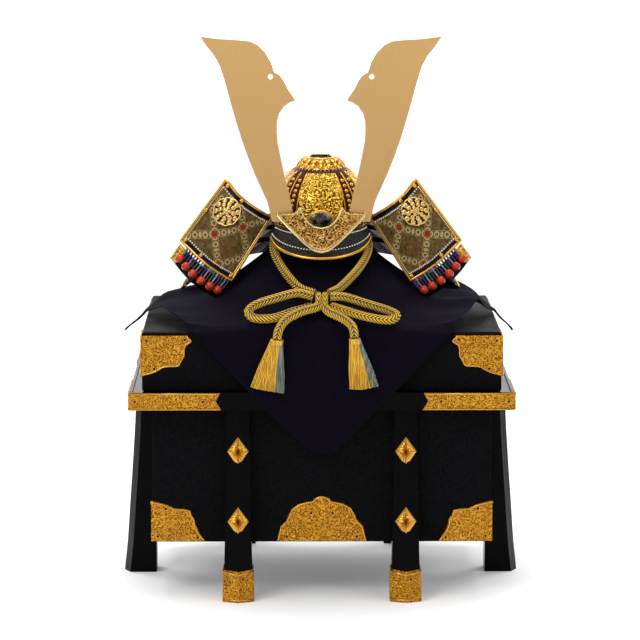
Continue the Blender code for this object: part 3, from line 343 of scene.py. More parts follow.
@dataclass(frozen=True)
class SatinMetal:
    """Satin metal with a fine brushed grain and a painted highlight that lightens it higher up."""

    name: str
    low: str
    high: str
    roughness: float
    # Heights between which the tone lightens to the high colour: a painted highlight on the tall horns
    rise: tuple[float, float] = (0.36, 0.52)

    def build(self) -> Material:
        """Returns the material."""
        g = Graph(self.name)
        at = g.place()
        lines = g.cloud(g.vector("MULTIPLY", at, (900.0, 900.0, 60.0)), 1.0, 3.0)
        # Painted highlight: the colour runs from the low one to the high one with height
        height = g.add("SeparateXYZ", {0: at}).outputs[2]
        g.set(
            Base_Color=g.tones(
                lines, 0.3, 0.7, g.tones(height, *self.rise, self.low, self.high), self.low, 0.12
            ),
            Metallic=0.85,
            Roughness=g.span(lines, 0.3, 0.7, self.roughness, self.roughness + 0.08),
            Normal=g.bump(lines, 0.00002, 0.6),
        )
        return g.material


@dataclass(frozen=True)
class WingLeather:
    """Printed leather of a wing: crossing bands with red squares and cream rings, edged in black."""

    name: str = "printed_leather"
    width: float = 0.064
    height: float = 0.070
    # Distance between bands, band half width and ring radius, measured on the photograph
    pitch: float = 0.0300
    band: float = 0.0032
    ring: float = 0.0027
    line: float = 0.0004
    hoop: float = 0.0006
    border: float = 0.0046
    # Shares of the wing at a printed medallion's centre, and its radius
    medallion: tuple[float, float] = (0.36, 0.66)
    medallion_radius: float = 0.0080

    def chain(self, g: Graph, near: Socket, along: Socket) -> Socket:
        """Rings in a row down one band.

        Args:
            g: The graph to add to.
            near: Distance from the band's middle.
            along: Distance along the band, folded at the crossings.

        Returns:
            1 on the rings and 0 elsewhere.
        """
        space = self.ring * 1.2
        away = g.reach(near, g.fold(g.plus(along, space), space))
        hoop = g.below(g.magnitude(g.minus(away, self.ring * 0.8)), self.hoop)
        return g.times(hoop, g.below(near, self.band))

    def medallion_print(self, g: Graph, u: Socket, v: Socket, mottle: Socket) -> Socket:
        """The medallion between the bands: 1 on its ragged petals and 0 elsewhere."""
        across = g.times(g.minus(u, self.medallion[0]), self.width)
        down = g.times(g.minus(v, self.medallion[1]), self.height)
        away = g.reach(across, down)
        petals = g.wave(g.times(g.plus(away, g.times(mottle, 0.004)), 2400.0))
        return g.times(g.above(petals, 0.1), g.below(away, self.medallion_radius))

    def build(self) -> Material:
        """Returns the material; its UV runs out along the wing and down it, from 0 to 1."""
        g = Graph(self.name)
        u, v = g.uv()
        x, y = g.times(u, self.width), g.times(v, self.height)
        a, b = (g.fold(g.times(both, 0.7071), self.pitch / 2) for both in (g.plus(x, y), g.minus(x, y)))
        on_a, on_b = g.below(a, self.band), g.below(b, self.band)
        lines = g.larger(*(g.below(g.magnitude(g.minus(way, self.band)), self.line) for way in (a, b)))
        rings = g.larger(g.larger(0.0, self.chain(g, a, b)), self.chain(g, b, a))
        at = g.place()
        mottle = g.cloud(at, 260.0, 4.0, 0.65)
        colour = g.ramp(mottle, ((0.30, "#33270F"), (0.55, "#5E4A26"), (0.75, "#836A3C")))
        for share, over in (
            (g.times(self.medallion_print(g, u, v, mottle), 0.55), "#7A3B22"),
            (g.larger(on_a, on_b), g.ramp(mottle, ((0.3, "#453A1E"), (0.7, "#665832")))),
            (rings, "#A8956A"),
            (g.times(on_a, on_b), g.ramp(mottle, ((0.3, "#6A1A10"), (0.7, "#8C2C1E")))),
            (lines, "#8C6836"),
        ):
            colour = g.mix(share, colour, over)
        gap_u = g.times(g.smaller(u, g.minus(1.0, u)), self.width)
        gap_v = g.times(g.smaller(v, g.minus(1.0, v)), self.height)
        edge = g.larger(g.below(gap_v, self.border), g.below(gap_u, self.border * 0.25))
        raised = g.times(g.below(g.smaller(gap_u, gap_v), self.border), 0.5)
        g.set(
            Base_Color=g.mix(edge, colour, "#060505"),
            Roughness=g.mix(edge, (0.62, 0.62, 0.62, 1.0), (0.25, 0.25, 0.25, 1.0)),
            Specular_IOR_Level=0.12,
            Normal=g.bump(g.plus(g.cells(at, 900.0), raised), 0.00018, 0.8),
        )
        return g.material


@dataclass(frozen=True)
class DarkLeather:
    """Dark pebbled leather under the crest."""

    name: str = "dark_leather"

    def build(self) -> Material:
        """Returns the material: pebbles about 1.2 mm across with paler tops."""
        g = Graph(self.name)
        cells = g.cells(g.place(), 850.0)
        g.set(
            Base_Color=g.ramp(cells, ((0.1, "#3C3220"), (0.35, "#15120F"), (0.7, "#060505"))),
            Roughness=g.span(cells, 0.1, 0.6, 0.35, 0.55),
            Specular_IOR_Level=0.12,
            Normal=g.bump(cells, 0.0003, 1.0),
        )
        return g.material


@dataclass(frozen=True)
class Wool:
    """Felted navy wool: matt, with a soft pile and faint mottling."""

    name: str = "felted_wool"
    shade: str = "#04020A"
    light: str = "#090515"
    pile: str = "#120C22"
    sheen: str = "#5A4C8A"

    def build(self) -> Material:
        """Returns the material; the pile is about 0.5 mm and the mottling about 6 mm."""
        g = Graph(self.name)
        at = g.place()
        pile = g.cloud(at, 1900.0, 4.0, 0.7)
        mottle = g.cloud(at, 160.0, 4.0, 0.6)
        tone = g.tones(mottle, 0.35, 0.7, self.shade, self.light, 0.7)
        g.set(
            Base_Color=g.tones(pile, 0.4, 0.75, tone, self.pile, 0.35),
            Roughness=0.95,
            Sheen_Weight=0.04,
            Sheen_Roughness=0.45,
            Sheen_Tint=linear(self.sheen),
            Specular_IOR_Level=0.08,
            Normal=g.bump(pile, 0.0003, 0.8, g.bump(mottle, 0.0005, 0.5)),
        )
        return g.material


@dataclass(frozen=True)
class Braid:
    """Braided gold silk: chevron strands with a silver thread, painted shade on their flanks and in the
    gaps, and a painted highlight on their crowns; UV in turns and metres.
    """

    name: str = "gold_braid"
    # Painted shade in the seams between the columns
    gap: str = "#2E1E06"
    # Share of a column from which its strands are silver
    silver_from: float = 0.88

    def build(self) -> Material:
        """Returns the material."""
        g = Graph(self.name)
        u, v = g.uv()
        slant = g.fold(g.times(u, float(BRAID_COLUMNS)), 1.0)
        phase = g.plus(g.math("DIVIDE", v, BRAID_PITCH), g.times(slant, BRAID_LEAN))
        strand = g.fold(phase, 0.5)
        yarn = g.wave(g.times(g.minus(u, phase), 180.0))
        # Painted shade on each strand's flanks and a painted highlight on its crown
        gold = g.ramp(strand, ((0.0, "#120A01"), (0.13, "#7E520A"), (0.28, "#E8B22E"), (0.5, "#FFDB56")))
        silver = g.ramp(strand, ((0.0, "#14140F"), (0.2, "#4A4938"), (0.5, "#A09C7C")))
        colour = g.mix(g.above(slant, self.silver_from), gold, silver)
        # The seams between columns are darkened with the painted shade of the gap colour
        g.set(
            Base_Color=g.mix(g.span(slant, 0.0, 0.1, 0.5, 0.0), colour, self.gap),
            Roughness=0.42,
            Specular_IOR_Level=0.35,
            Normal=g.bump(g.plus(strand, g.times(yarn, 0.04)), 0.0016, 1.0),
        )
        return g.material


@dataclass(frozen=True)
class Silk:
    """Plain silk thread with a fine twist."""

    name: str
    shade: str
    light: str

    def build(self) -> Material:
        """Returns the material; its tone is drawn out along the hanging threads."""
        g = Graph(self.name)
        at = g.place()
        drawn = g.cloud(g.vector("MULTIPLY", at, (900.0, 900.0, 14.0)), 1.0, 2.0)
        g.set(
            Base_Color=g.tones(drawn, 0.35, 0.65, self.shade, self.light),
            Roughness=0.48,
            Specular_IOR_Level=0.3,
            Normal=g.bump(g.cloud(at, 1500.0, 2.0), 0.0002, 0.8),
        )
        return g.material


@dataclass(frozen=True)
class Glaze:
    """A smooth coloured gloss: coral beads, dark enamel or polished stone, whose pale swirl is a painted
    reflection.
    """

    name: str
    shade: str
    light: str
    roughness: float
    swirl_scale: float
    coat: float = 0.5

    def build(self) -> Material:
        """Returns the material."""
        g = Graph(self.name)
        at = g.place()
        # Random tone, and on the stone a painted reflection
        swirl = g.cloud(at, self.swirl_scale, 4.0, 0.6)
        g.set(
            Base_Color=g.tones(swirl, 0.45, 0.68, self.shade, self.light),
            Roughness=g.span(swirl, 0.3, 0.7, self.roughness, self.roughness + 0.1),
            Coat_Weight=self.coat,
            Coat_Roughness=0.1,
            Specular_IOR_Level=0.15 + 0.6 * self.coat,
            Normal=g.bump(g.cloud(at, 500.0, 2.0), 0.00003, 0.4),
        )
        return g.material


@dataclass(frozen=True)
class PlainWood:
    """Plain turned wood with growth rings."""

    name: str = "turned_wood"

    def build(self) -> Material:
        """Returns the material."""
        g = Graph(self.name)
        inputs = {"Vector": g.place(), "Scale": 60.0, "Distortion": 3.0}
        rings = g.add("TexWave", inputs, wave_type="RINGS").outputs["Fac"]
        g.set(
            Base_Color=g.ramp(rings, ((0.0, "#8E6A42"), (1.0, "#B48C5C"))),
            Roughness=0.6,
            Normal=g.bump(rings, 0.0001, 0.4),
        )
        return g.material


@dataclass(frozen=True)
class Backdrop:
    """Pale matt studio paper, which glows."""

    name: str
    glow: float

    def build(self) -> Material:
        """Returns the material."""
        g = Graph(self.name)
        grain = g.cloud(g.place(), 40.0, 3.0)
        g.set(
            Emission_Color=linear("#FFFFFF"),
            Emission_Strength=self.glow,
            Base_Color=g.tones(grain, 0.3, 0.7, "#F4F4F4", "#F8F8F8"),
            Roughness=0.7,
        )
        return g.material


class Finishes:
    """Every material of the scene, each built once."""

    def __init__(self) -> None:
        """Builds the materials."""
        self.lacquer = GlossLacquer().build()
        self.cover = GrainedCover().build()
        # Colours on the leaves, between them and in the cuts, the last one painted shade; size, depth,
        # roughness and leaves
        self.gilt = ScrolledMetal(
            "chased_gilt", "#CE9432", "#B47C24", "#7A4E12", 0.0062, 0.0006, 0.27, 0.8
        ).build()
        self.relief = ScrolledMetal(
            "relief_gilt", "#F2C856", "#CF9A2C", "#5A380A", 0.0075, 0.0016, 0.22, 1.4
        ).build()
        self.pale = ScrolledMetal(
            "embossed_pale_gilt", "#E2BA6C", "#B88436", "#54360E", 0.0070, 0.0012, 0.24, 1.2
        ).build()
        # Low colour, high colour of the painted highlight higher up, and roughness
        self.bright = SatinMetal("bright_gilt", "#D09A3A", "#DCA848", 0.18).build()
        self.white_gold = SatinMetal("white_gilt", "#DCC48C", "#E4CF9C", 0.20).build()
        self.peony = SatinMetal("pale_gilt", "#CFAA64", "#DAB876", 0.22).build()
        self.satin = SatinMetal("satin_champagne", "#C49A64", "#CDA76C", 0.42).build()
        self.leather = DarkLeather().build()
        self.printed = WingLeather().build()
        self.wool = Wool().build()
        # Dark and pale colour, roughness, scale of the swirl, which on the stone is a painted reflection,
        # and weight of the coat
        self.dark = Glaze("dark_enamel", "#2A0F06", "#4A200C", 0.3, 90.0, 0.0).build()
        # The stone's pale swirl is a painted reflection on the glossy boss
        self.stone = Glaze("polished_stone", "#0B0908", "#8A8578", 0.06, 120.0).build()
        self.coral = Glaze("coral", "#A62A08", "#C4410F", 0.22, 150.0, 0.25).build()
        self.braid = Braid().build()
        self.tassel = Silk("tassel_gold", "#B07A14", "#EBC044").build()
        self.tassel_grey = Silk("tassel_grey", "#48524E", "#8F978C").build()
        self.white = Silk("white_thread", "#CFCBC0", "#EFEDE6").build()
        self.pale_lace = Silk("pale_lace", "#6C6876", "#A6A2AE").build()
        self.purple = Silk("purple_thread", "#33204C", "#54386E").build()
        self.green = Silk("green_thread", "#1E4A33", "#2F6A48").build()
        self.wood = PlainWood().build()
        self.floor = Backdrop("studio_floor", 0.12).build()
        self.wall = Backdrop("studio_wall", 0.9).build()


# ---- Meshes


def start() -> None:
    """Leaves edit mode and deselects everything."""
    if bpy.context.object and bpy.context.object.mode != "OBJECT":
        bpy.ops.object.mode_set(mode="OBJECT")
    bpy.ops.object.select_all(action="DESELECT")


def choose(piece: Piece) -> None:
    """Makes a piece the only selected and the active one."""
    start()
    bpy.context.view_layer.objects.active = piece
    piece.select_set(True)


def finish_piece(piece: Piece, material: Material, smooth: bool = True) -> Piece:
    """Gives a piece its material and lets it ride on the body."""
    piece.data.materials.clear()
    piece.data.materials.append(material)
    if smooth:
        piece.data.polygons.foreach_set("use_smooth", [True] * len(piece.data.polygons))
    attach(piece, BODY)
    return piece


def mesh_piece(name: str, points: list, faces: list, uv: list | None = None) -> Piece:
    """Makes an object from points and faces, with an optional UV for each point."""
    mesh = bpy.data.meshes.new(name)
    mesh.from_pydata([tuple(p) for p in points], [], faces)
    if uv:
        layer = mesh.uv_layers.new(name="UVMap")
        for loop in mesh.loops:
            layer.data[loop.index].uv = uv[loop.vertex_index]
    mesh.update()
    piece = bpy.data.objects.new(name, mesh)
    bpy.context.scene.collection.objects.link(piece)
    return piece


def outward(piece: Piece) -> Piece:
    """Turns a closed piece's faces outwards with the edit-mode operator."""
    choose(piece)
    bpy.ops.object.mode_set(mode="EDIT")
    bpy.ops.mesh.select_all(action="SELECT")
    bpy.ops.mesh.normals_make_consistent(inside=False)
    bpy.ops.object.mode_set(mode="OBJECT")
    piece.select_set(False)
    return piece


def apply(piece: Piece, kind: str, **settings: object) -> None:
    """Adds a modifier with its settings and applies it."""
    choose(piece)
    made = piece.modifiers.new(kind.lower(), kind)
    for key, value in settings.items():
        setattr(made, key, value)
    bpy.ops.object.modifier_apply(modifier=made.name)
    piece.select_set(False)


def grid_faces(rows: int, columns: int, closed: bool = False) -> list[tuple[int, ...]]:
    """Quads of a grid of points.

    Args:
        rows: Rows of quads.
        columns: Quads in a row.
        closed: Whether a row's last quad ends at its first point.

    Returns:
        The faces, by point numbers that run along the rows.
    """
    wide = columns if closed else columns + 1
    faces = []
    for row in range(rows):
        for k in range(columns):
            a, b = row * wide + k, row * wide + (k + 1) % wide
            faces.append((a, b, b + wide, a + wide))
    return faces


def thick_sheet(
    name: str,
    rows: list[list[Vector]],
    thickness: float,
    material: Material,
    uv: list | None = None,
) -> Piece:
    """A finished sheet through rows of points, with a thickness about its middle."""
    faces = grid_faces(len(rows) - 1, len(rows[0]) - 1)
    piece = mesh_piece(name, [spot for row in rows for spot in row], faces, uv)
    apply(piece, "SOLIDIFY", thickness=thickness, offset=0.0)
    return finish_piece(outward(piece), material)


def circle(count: int) -> list[float]:
    """Angles of a turn in equal steps, in radians."""
    return [FULL_TURN * k / count for k in range(count)]


def smooth_path(route: list, step: float) -> list[Vector]:
    """Evenly close points on a Catmull-Rom curve through a route."""
    points = [Vector(p) for p in route]
    ring = [2 * points[0] - points[1], *points, 2 * points[-1] - points[-2]]
    found = []
    for a, b, c, d in zip(ring, ring[1:], ring[2:], ring[3:]):
        count = max(1, math.ceil((c - b).length / step))
        for k in range(count):
            t = k / count
            square = (2 * a - 5 * b + 4 * c - d) * t**2
            cube = (3 * b - a - 3 * c + d) * t**3
            found.append((2 * b + (c - a) * t + square + cube) / 2)
    return [*found, points[-1]]


@dataclass
class Tube:
    """A round bar or cord that follows a path, with UV in turns and metres."""

    name: str
    radius: float
    sides: int = 8
    closed: bool = False
    # Thickness as a share of the width
    flat: float = 1.0
    # Depth of a braid's gaps as a share of the radius
    relief: float = 0.0

    def ring_radius(self, turn: float, along: float) -> float:
        """The radius at a share of a turn and a length along the path, with a braid's chevrons."""
        if not self.relief:
            return self.radius
        slant = abs((turn * BRAID_COLUMNS) % 2 - 1)
        phase = (along / BRAID_PITCH + (1 - slant) * BRAID_LEAN) % 1
        strand = 1 - abs(2 * phase - 1)
        return self.radius * (1 - self.relief * (1 - strand**0.6))

    def build(self, path: list[Vector], up: Vector = VIEWER) -> Piece:
        """Builds the mesh.

        Args:
            path: The centreline.
            up: A direction that the first side faces as nearly as it can.

        Returns:
            The new object.
        """
        count = len(path)
        points, uv = [], []
        along = 0.0
        side = None
        for k, spot in enumerate(path):
            ahead = path[(k + 1) % count] if self.closed or k + 1 < count else spot
            behind = path[k - 1] if self.closed or k else spot
            way = (ahead - behind).normalized()
            base = side if side else up.cross(way)
            side = (base - way * base.dot(way)).normalized()
            other = way.cross(side)
            if k:
                along += (spot - path[k - 1]).length
            for j in range(self.sides + 1):
                turn = j / self.sides
                reach = self.ring_radius(turn, along)
                angle = FULL_TURN * turn
                across = side * reach * math.cos(angle)
                points.append(spot + across + other * reach * math.sin(angle) * self.flat)
                uv.append((turn, along))
        width = self.sides + 1
        faces = grid_faces(count - 1, self.sides)
        if self.closed:
            last = (count - 1) * width
            faces += [(last + j, last + j + 1, j + 1, j) for j in range(self.sides)]
        else:
            for row in (0, count - 1):
                points.append(path[row])
                uv.append((0.5, 0.0))
                for j in range(self.sides):
                    pair = (row * width + j, row * width + j + 1)
                    faces.append((*(pair[::-1] if row == 0 else pair), len(points) - 1))
        piece = mesh_piece(self.name, points, faces, uv)
        apply(piece, "WELD", merge_threshold=0.000001)
        return outward(piece)


def bar(
    name: str,
    radius: float,
    path: list[Vector],
    material: Material,
    slot: Slot = Slot.GILT,
    up: Vector = VIEWER,
    **shape: object,
) -> Piece:
    """A finished round bar along a path; shape holds further fields of Tube."""
    return finish_piece(Tube(name, radius, **shape).build(path, up), material)


def scatter(
    name: str, model: Piece, places: list[Matrix], material: Material
) -> Piece:
    """Copies a model to many places as one finished piece and removes the model."""
    source = [v.co.copy() for v in model.data.vertices]
    shape = [tuple(p.vertices) for p in model.data.polygons]
    points, faces = [], []
    for place in places:
        shift = len(points)
        points += [place @ co for co in source]
        faces += [tuple(i + shift for i in face) for face in shape]
    bpy.data.objects.remove(model)
    return finish_piece(mesh_piece(name, points, faces), material)


def ball(
    radius: float,
    flat: float = 1.0,
    long: float = 1.0,
    wide: float = 1.0,
    segments: int = 14,
    rings: int = 8,
) -> Piece:
    """A ball modelled as by hand: a sphere, pressed flat along Z in edit mode and drawn out.

    Args:
        radius: The sphere's radius.
        flat: Share of its height that is left.
        long: Stretch along X.
        wide: Stretch along Y.
        segments: Faces round the sphere.
        rings: Rows of faces.

    Returns:
        The new object, for scatter.
    """
    start()
    bpy.ops.mesh.primitive_uv_sphere_add(segments=segments, ring_count=rings, radius=radius)
    bpy.ops.object.mode_set(mode="EDIT")
    bpy.ops.mesh.select_all(action="SELECT")
    bpy.ops.transform.resize(value=(1, 1, flat))
    bpy.ops.object.mode_set(mode="OBJECT")
    model = bpy.context.object
    model.data.transform(Matrix.Diagonal((long, wide, 1.0, 1.0)))
    model.select_set(False)
    return model


def facing(spot: Vector, normal: Vector = FRONT, along: Vector | None = None) -> Matrix:
    """A placement whose Z follows a normal and whose X follows a direction as nearly as it can."""
    z = normal.normalized()
    x = (along or Vector((1, 0, 0))) if abs(z.x) < 0.9 else Vector((0, 1, 0))
    x = (x - z * x.dot(z)).normalized()
    y = z.cross(x)
    return Matrix(
        ((x.x, y.x, z.x, spot[0]), (x.y, y.y, z.y, spot[1]), (x.z, y.z, z.z, spot[2]), (0, 0, 0, 1))
    )


def between(table: tuple, at: float, column: int = 1) -> float:
    """The value of a table's column at a place between its rows."""
    for low, high in zip(table, table[1:]):
        if at <= high[0]:
            share = max(0.0, (at - low[0]) / (high[0] - low[0]))
            return low[column] + (high[column] - low[column]) * share
    return table[-1][column]


def paint(material: Material, *nodes: str) -> None:
    """Assigns a material to CAD nodes."""
    for name in nodes:
        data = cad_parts[name].data
        data.materials.clear()
        data.materials.append(material)


# ---- Chest


@dataclass(frozen=True)
class CornerPlate:
    """A corner plate with an arm on each of two faces."""

    kind: str
    # Half width and half depth of the box under it
    half: tuple[float, float]
    # Length of an arm and height of the plate
    size: tuple[float, float]
    # Height at which its straight edge runs, and whether the plate goes up (1) or down (-1) from it
    foot: float
    way: int
    # Columns: share of the arm from the corner, share of the height
    edge: tuple[tuple[float, float], ...]


@dataclass
class Chest:
    """The chest with its gilt fittings: rims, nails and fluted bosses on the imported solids."""

    lid: CornerPlate = CornerPlate(
        "lid", (0.1688, 0.1338), (0.0471, 0.0388), 0.2504, -1,
        (
            (0.910, 0.000), (1.000, 0.140), (0.885, 0.250), (0.860, 0.330), (0.855, 0.500), (0.790, 0.640),
            (0.740, 0.745), (0.560, 0.760), (0.418, 0.790), (0.310, 0.870), (0.190, 0.930),
        ),
    )
    base: CornerPlate = CornerPlate(
        "base", (0.1600, 0.1250), (0.0497, 0.0388), 0.0532, 1,
        (
            (1.000, 0.000), (0.900, 0.190), (0.820, 0.400), (0.800, 0.560), (0.750, 0.640),
            (0.720, 0.760), (0.600, 0.800), (0.420, 0.815), (0.280, 0.900), (0.150, 0.950),
        ),
    )
    # The band's half width and half depth, its foot and top, and the length of its plates
    band: tuple[float, float] = (0.1802, 0.1452)
    band_foot: float = 0.1818
    band_top: float = 0.1980
    band_plate: float = 0.0860
    centre_plate: tuple[float, float] = (0.0425, 0.0435)
    centre_edge: tuple = (
        (1.000, 0.000), (0.950, 0.200), (0.920, 0.330), (0.800, 0.440), (0.740, 0.580), (0.660, 0.720),
        (0.500, 0.820), (0.300, 0.870), (0.200, 0.890), (0.160, 0.950), (0.000, 1.000),
    )
    plate: float = 0.0012
    rim: float = 0.00085
    path_step: float = 0.002
    # Nail places as shares of a plate's length and height
    corner_nails: tuple = ((0.86, 0.09), (0.25, 0.80), (0.10, 0.12))
    centre_nails: tuple = ((0.78, 0.10), (-0.78, 0.10), (0.24, 0.62), (-0.24, 0.62))
    band_nails: tuple[float, float] = (0.06, 0.80)
    # Each boss: flutes, rows of points, height, and a shallow flute's share of it
    flutes: int = 32
    flute_rows: int = 6
    flute_rise: float = 0.0034
    flute_low: float = 0.62

    def arm(self, corner: tuple, half: tuple, front: bool, along: float, z: float) -> Vector:
        """A point on a plate's arm; front arms run along X and the others along Y."""
        sx, sy = corner
        if front:
            return Vector((sx * (half[0] - along), sy * (half[1] + self.plate), z))
        return Vector((sx * (half[0] + self.plate), sy * (half[1] - along), z))

    def build(self, finishes: Finishes) -> None:
        """Paints the chest's nodes and adds rims, nails and bosses."""
        paint(finishes.cover, "chest_body", "chest_lid")
        paint(finishes.lacquer, "chest_band", *(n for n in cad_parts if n.startswith("leg_")))
        plates = (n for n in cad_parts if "_plate_" in n and not n.startswith("neck"))
        paint(finishes.gilt, *plates, "foot_cap_left", "foot_cap_right")
        nails = []
        for corner in ((-1, -1), (-1, 1), (1, -1), (1, 1)):
            nails += self.corner(corner, finishes)
        nails += self.centre(finishes)
        nails += self.caps(finishes)
        scatter("nail_heads", ball(0.0012, 0.4), nails, finishes.leather)
        start()
        bpy.ops.mesh.primitive_torus_add(
            major_segments=20, minor_segments=8, major_radius=0.0015, minor_radius=0.00035
        )
        scatter("nail_rings", bpy.context.object, nails, finishes.bright)
        for _, side in SIDES:
            for number in (1, 2):
                self.boss(f"boss_{side}_{number}", finishes)

    def corner(self, corner: tuple[int, int], finishes: Finishes) -> list[Matrix]:
        """Adds the rims of one corner's lid, base and band plates and returns the nail places."""
        word = f"{'front' if corner[1] < 0 else 'back'}_{'left' if corner[0] < 0 else 'right'}"
        faces = ((True, Vector((0, corner[1], 0))), (False, Vector((corner[0], 0, 0))))
        nails = []
        for plate in (self.lid, self.base):
            length, height = plate.size
            tip, *rest = plate.edge
            shape = [(length * tip[0] - self.rim, plate.foot + plate.way * self.rim)]
            shape += [
                (length * a - self.rim, plate.foot + plate.way * (height * h - self.rim)) for a, h in rest
            ]
            top = plate.foot + plate.way * (height - 2 * self.rim)
            path = [self.arm(corner, plate.half, True, a, z) for a, z in shape]
            path.append(self.arm(corner, plate.half, True, -self.plate, top))
            path += [self.arm(corner, plate.half, False, a, z) for a, z in shape[::-1]]
            for letter, part in (("a", path[: len(shape) + 1]), ("b", path[len(shape) :])):
                name = f"{plate.kind}_rim_{word}_{letter}"
                bar(name, self.rim, smooth_path(part, self.path_step), finishes.bright)
            for front, normal in faces:
                for a, h in self.corner_nails:
                    z = plate.foot + plate.way * height * h
                    nails.append(facing(self.arm(corner, plate.half, front, length * a, z), normal))
        middle = (self.band_foot + self.band_top) / 2
        for front, normal in faces:
            path = []
            for share, z in (
                (0.02 * 0.97, self.band_foot + self.rim),
                (0.98 * 0.97, self.band_foot + self.rim),
                (0.93, middle),
                (0.98 * 0.97, self.band_top - self.rim),
                (0.02 * 0.97, self.band_top - self.rim),
            ):
                path.append(self.arm(corner, self.band, front, share * self.band_plate, z))
            bar(f"band_rim_{word}_{'front' if front else 'side'}", self.rim * 0.8, path, finishes.bright)
            for share in self.band_nails:
                spot = self.arm(corner, self.band, front, self.band_plate * share, middle)
                nails.append(facing(spot, normal))
        return nails

    def centre(self, finishes: Finishes) -> list[Matrix]:
        """Adds the rim of the centre plate and returns its nail places."""
        width, height = self.centre_plate
        y = -self.base.half[1] - self.plate
        half = []
        for a, h in self.centre_edge:
            x, z = width * a, self.base.foot + height * h
            half.append((x - self.rim * (a > 0), z - self.rim * (h > 0)))
        path = [Vector((x, y, z)) for x, z in half] + [Vector((-x, y, z)) for x, z in half[-2::-1]]
        bar("centre_rim", self.rim, smooth_path(path, self.path_step), finishes.bright)
        return [facing(Vector((width * a, y, self.base.foot + height * h))) for a, h in self.centre_nails]

    def caps(self, finishes: Finishes) -> list[Matrix]:
        """Adds rims to the foot caps and returns their nail places."""
        nails = []
        inset, depth = 0.0003, 0.0075
        for _, side in SIDES:
            low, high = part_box(f"foot_cap_{side}")
            middle = (low.x + high.x) / 2
            # Height of the rim, its dip in the middle and its way back over the cap's slope
            for name, top, dip, back in (
                ("foot", 0.0024, 0.0, 0.0),
                ("top", high.z - 0.0010, 0.0037, 0.0022),
            ):
                path = [
                    Vector((low.x + inset, low.y + depth, top)),
                    Vector((middle, low.y + 0.0002, top - dip)),
                    Vector((high.x - inset, low.y + depth, top)),
                ]
                path = smooth_path([spot + Vector((0, back, 0)) for spot in path], 0.01)
                bar(f"cap_rim_{side}_{name}", 0.00075, path, finishes.bright)
            spot = Vector((middle + 0.0045, low.y + 0.0042, high.z - 0.0085))
            nails.append(facing(spot, Vector((0.4, -0.9, 0))))
        return nails

    def boss(self, name: str, finishes: Finishes) -> None:
        """A fluted lozenge in place of the plain pointed one, bent over the leg's front edge."""
        low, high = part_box(name)
        middle, half = (low + high) / 2, (high - low) / 2
        deepest = high.y - 0.0003
        edge, skirt = 0.0009, 0.0010
        fall = deepest - low.y - self.flute_rise - 0.0012
        points = []
        for ring in range(self.flute_rows + 1):
            share = ring / self.flute_rows
            for k, turn in enumerate(circle(self.flutes)):
                reach = 1 / (abs(math.cos(turn)) + abs(math.sin(turn)))
                x = half.x * reach * math.cos(turn) * share
                z = half.z * reach * math.sin(turn) * share
                lift = (1 - share) ** 0.8 * self.flute_rise * (self.flute_low if k % 2 else 1.0) + edge
                y = low.y + self.flute_rise + abs(x) / half.x * fall - lift + 0.0008
                points.append((middle.x + x, min(y, deepest), middle.z + z))
        back = len(points)
        points += [(x, y + skirt, z) for x, y, z in points[-self.flutes :]]
        faces = grid_faces(self.flute_rows + 1, self.flutes, closed=True)
        faces.append(tuple(range(back, back + self.flutes)))
        piece = mesh_piece(f"fluted_{name}", points, faces)
        apply(piece, "WELD", merge_threshold=0.00001)
        finish_piece(outward(piece), finishes.bright, smooth=False)
        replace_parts(piece, name)


# ---- Helmet


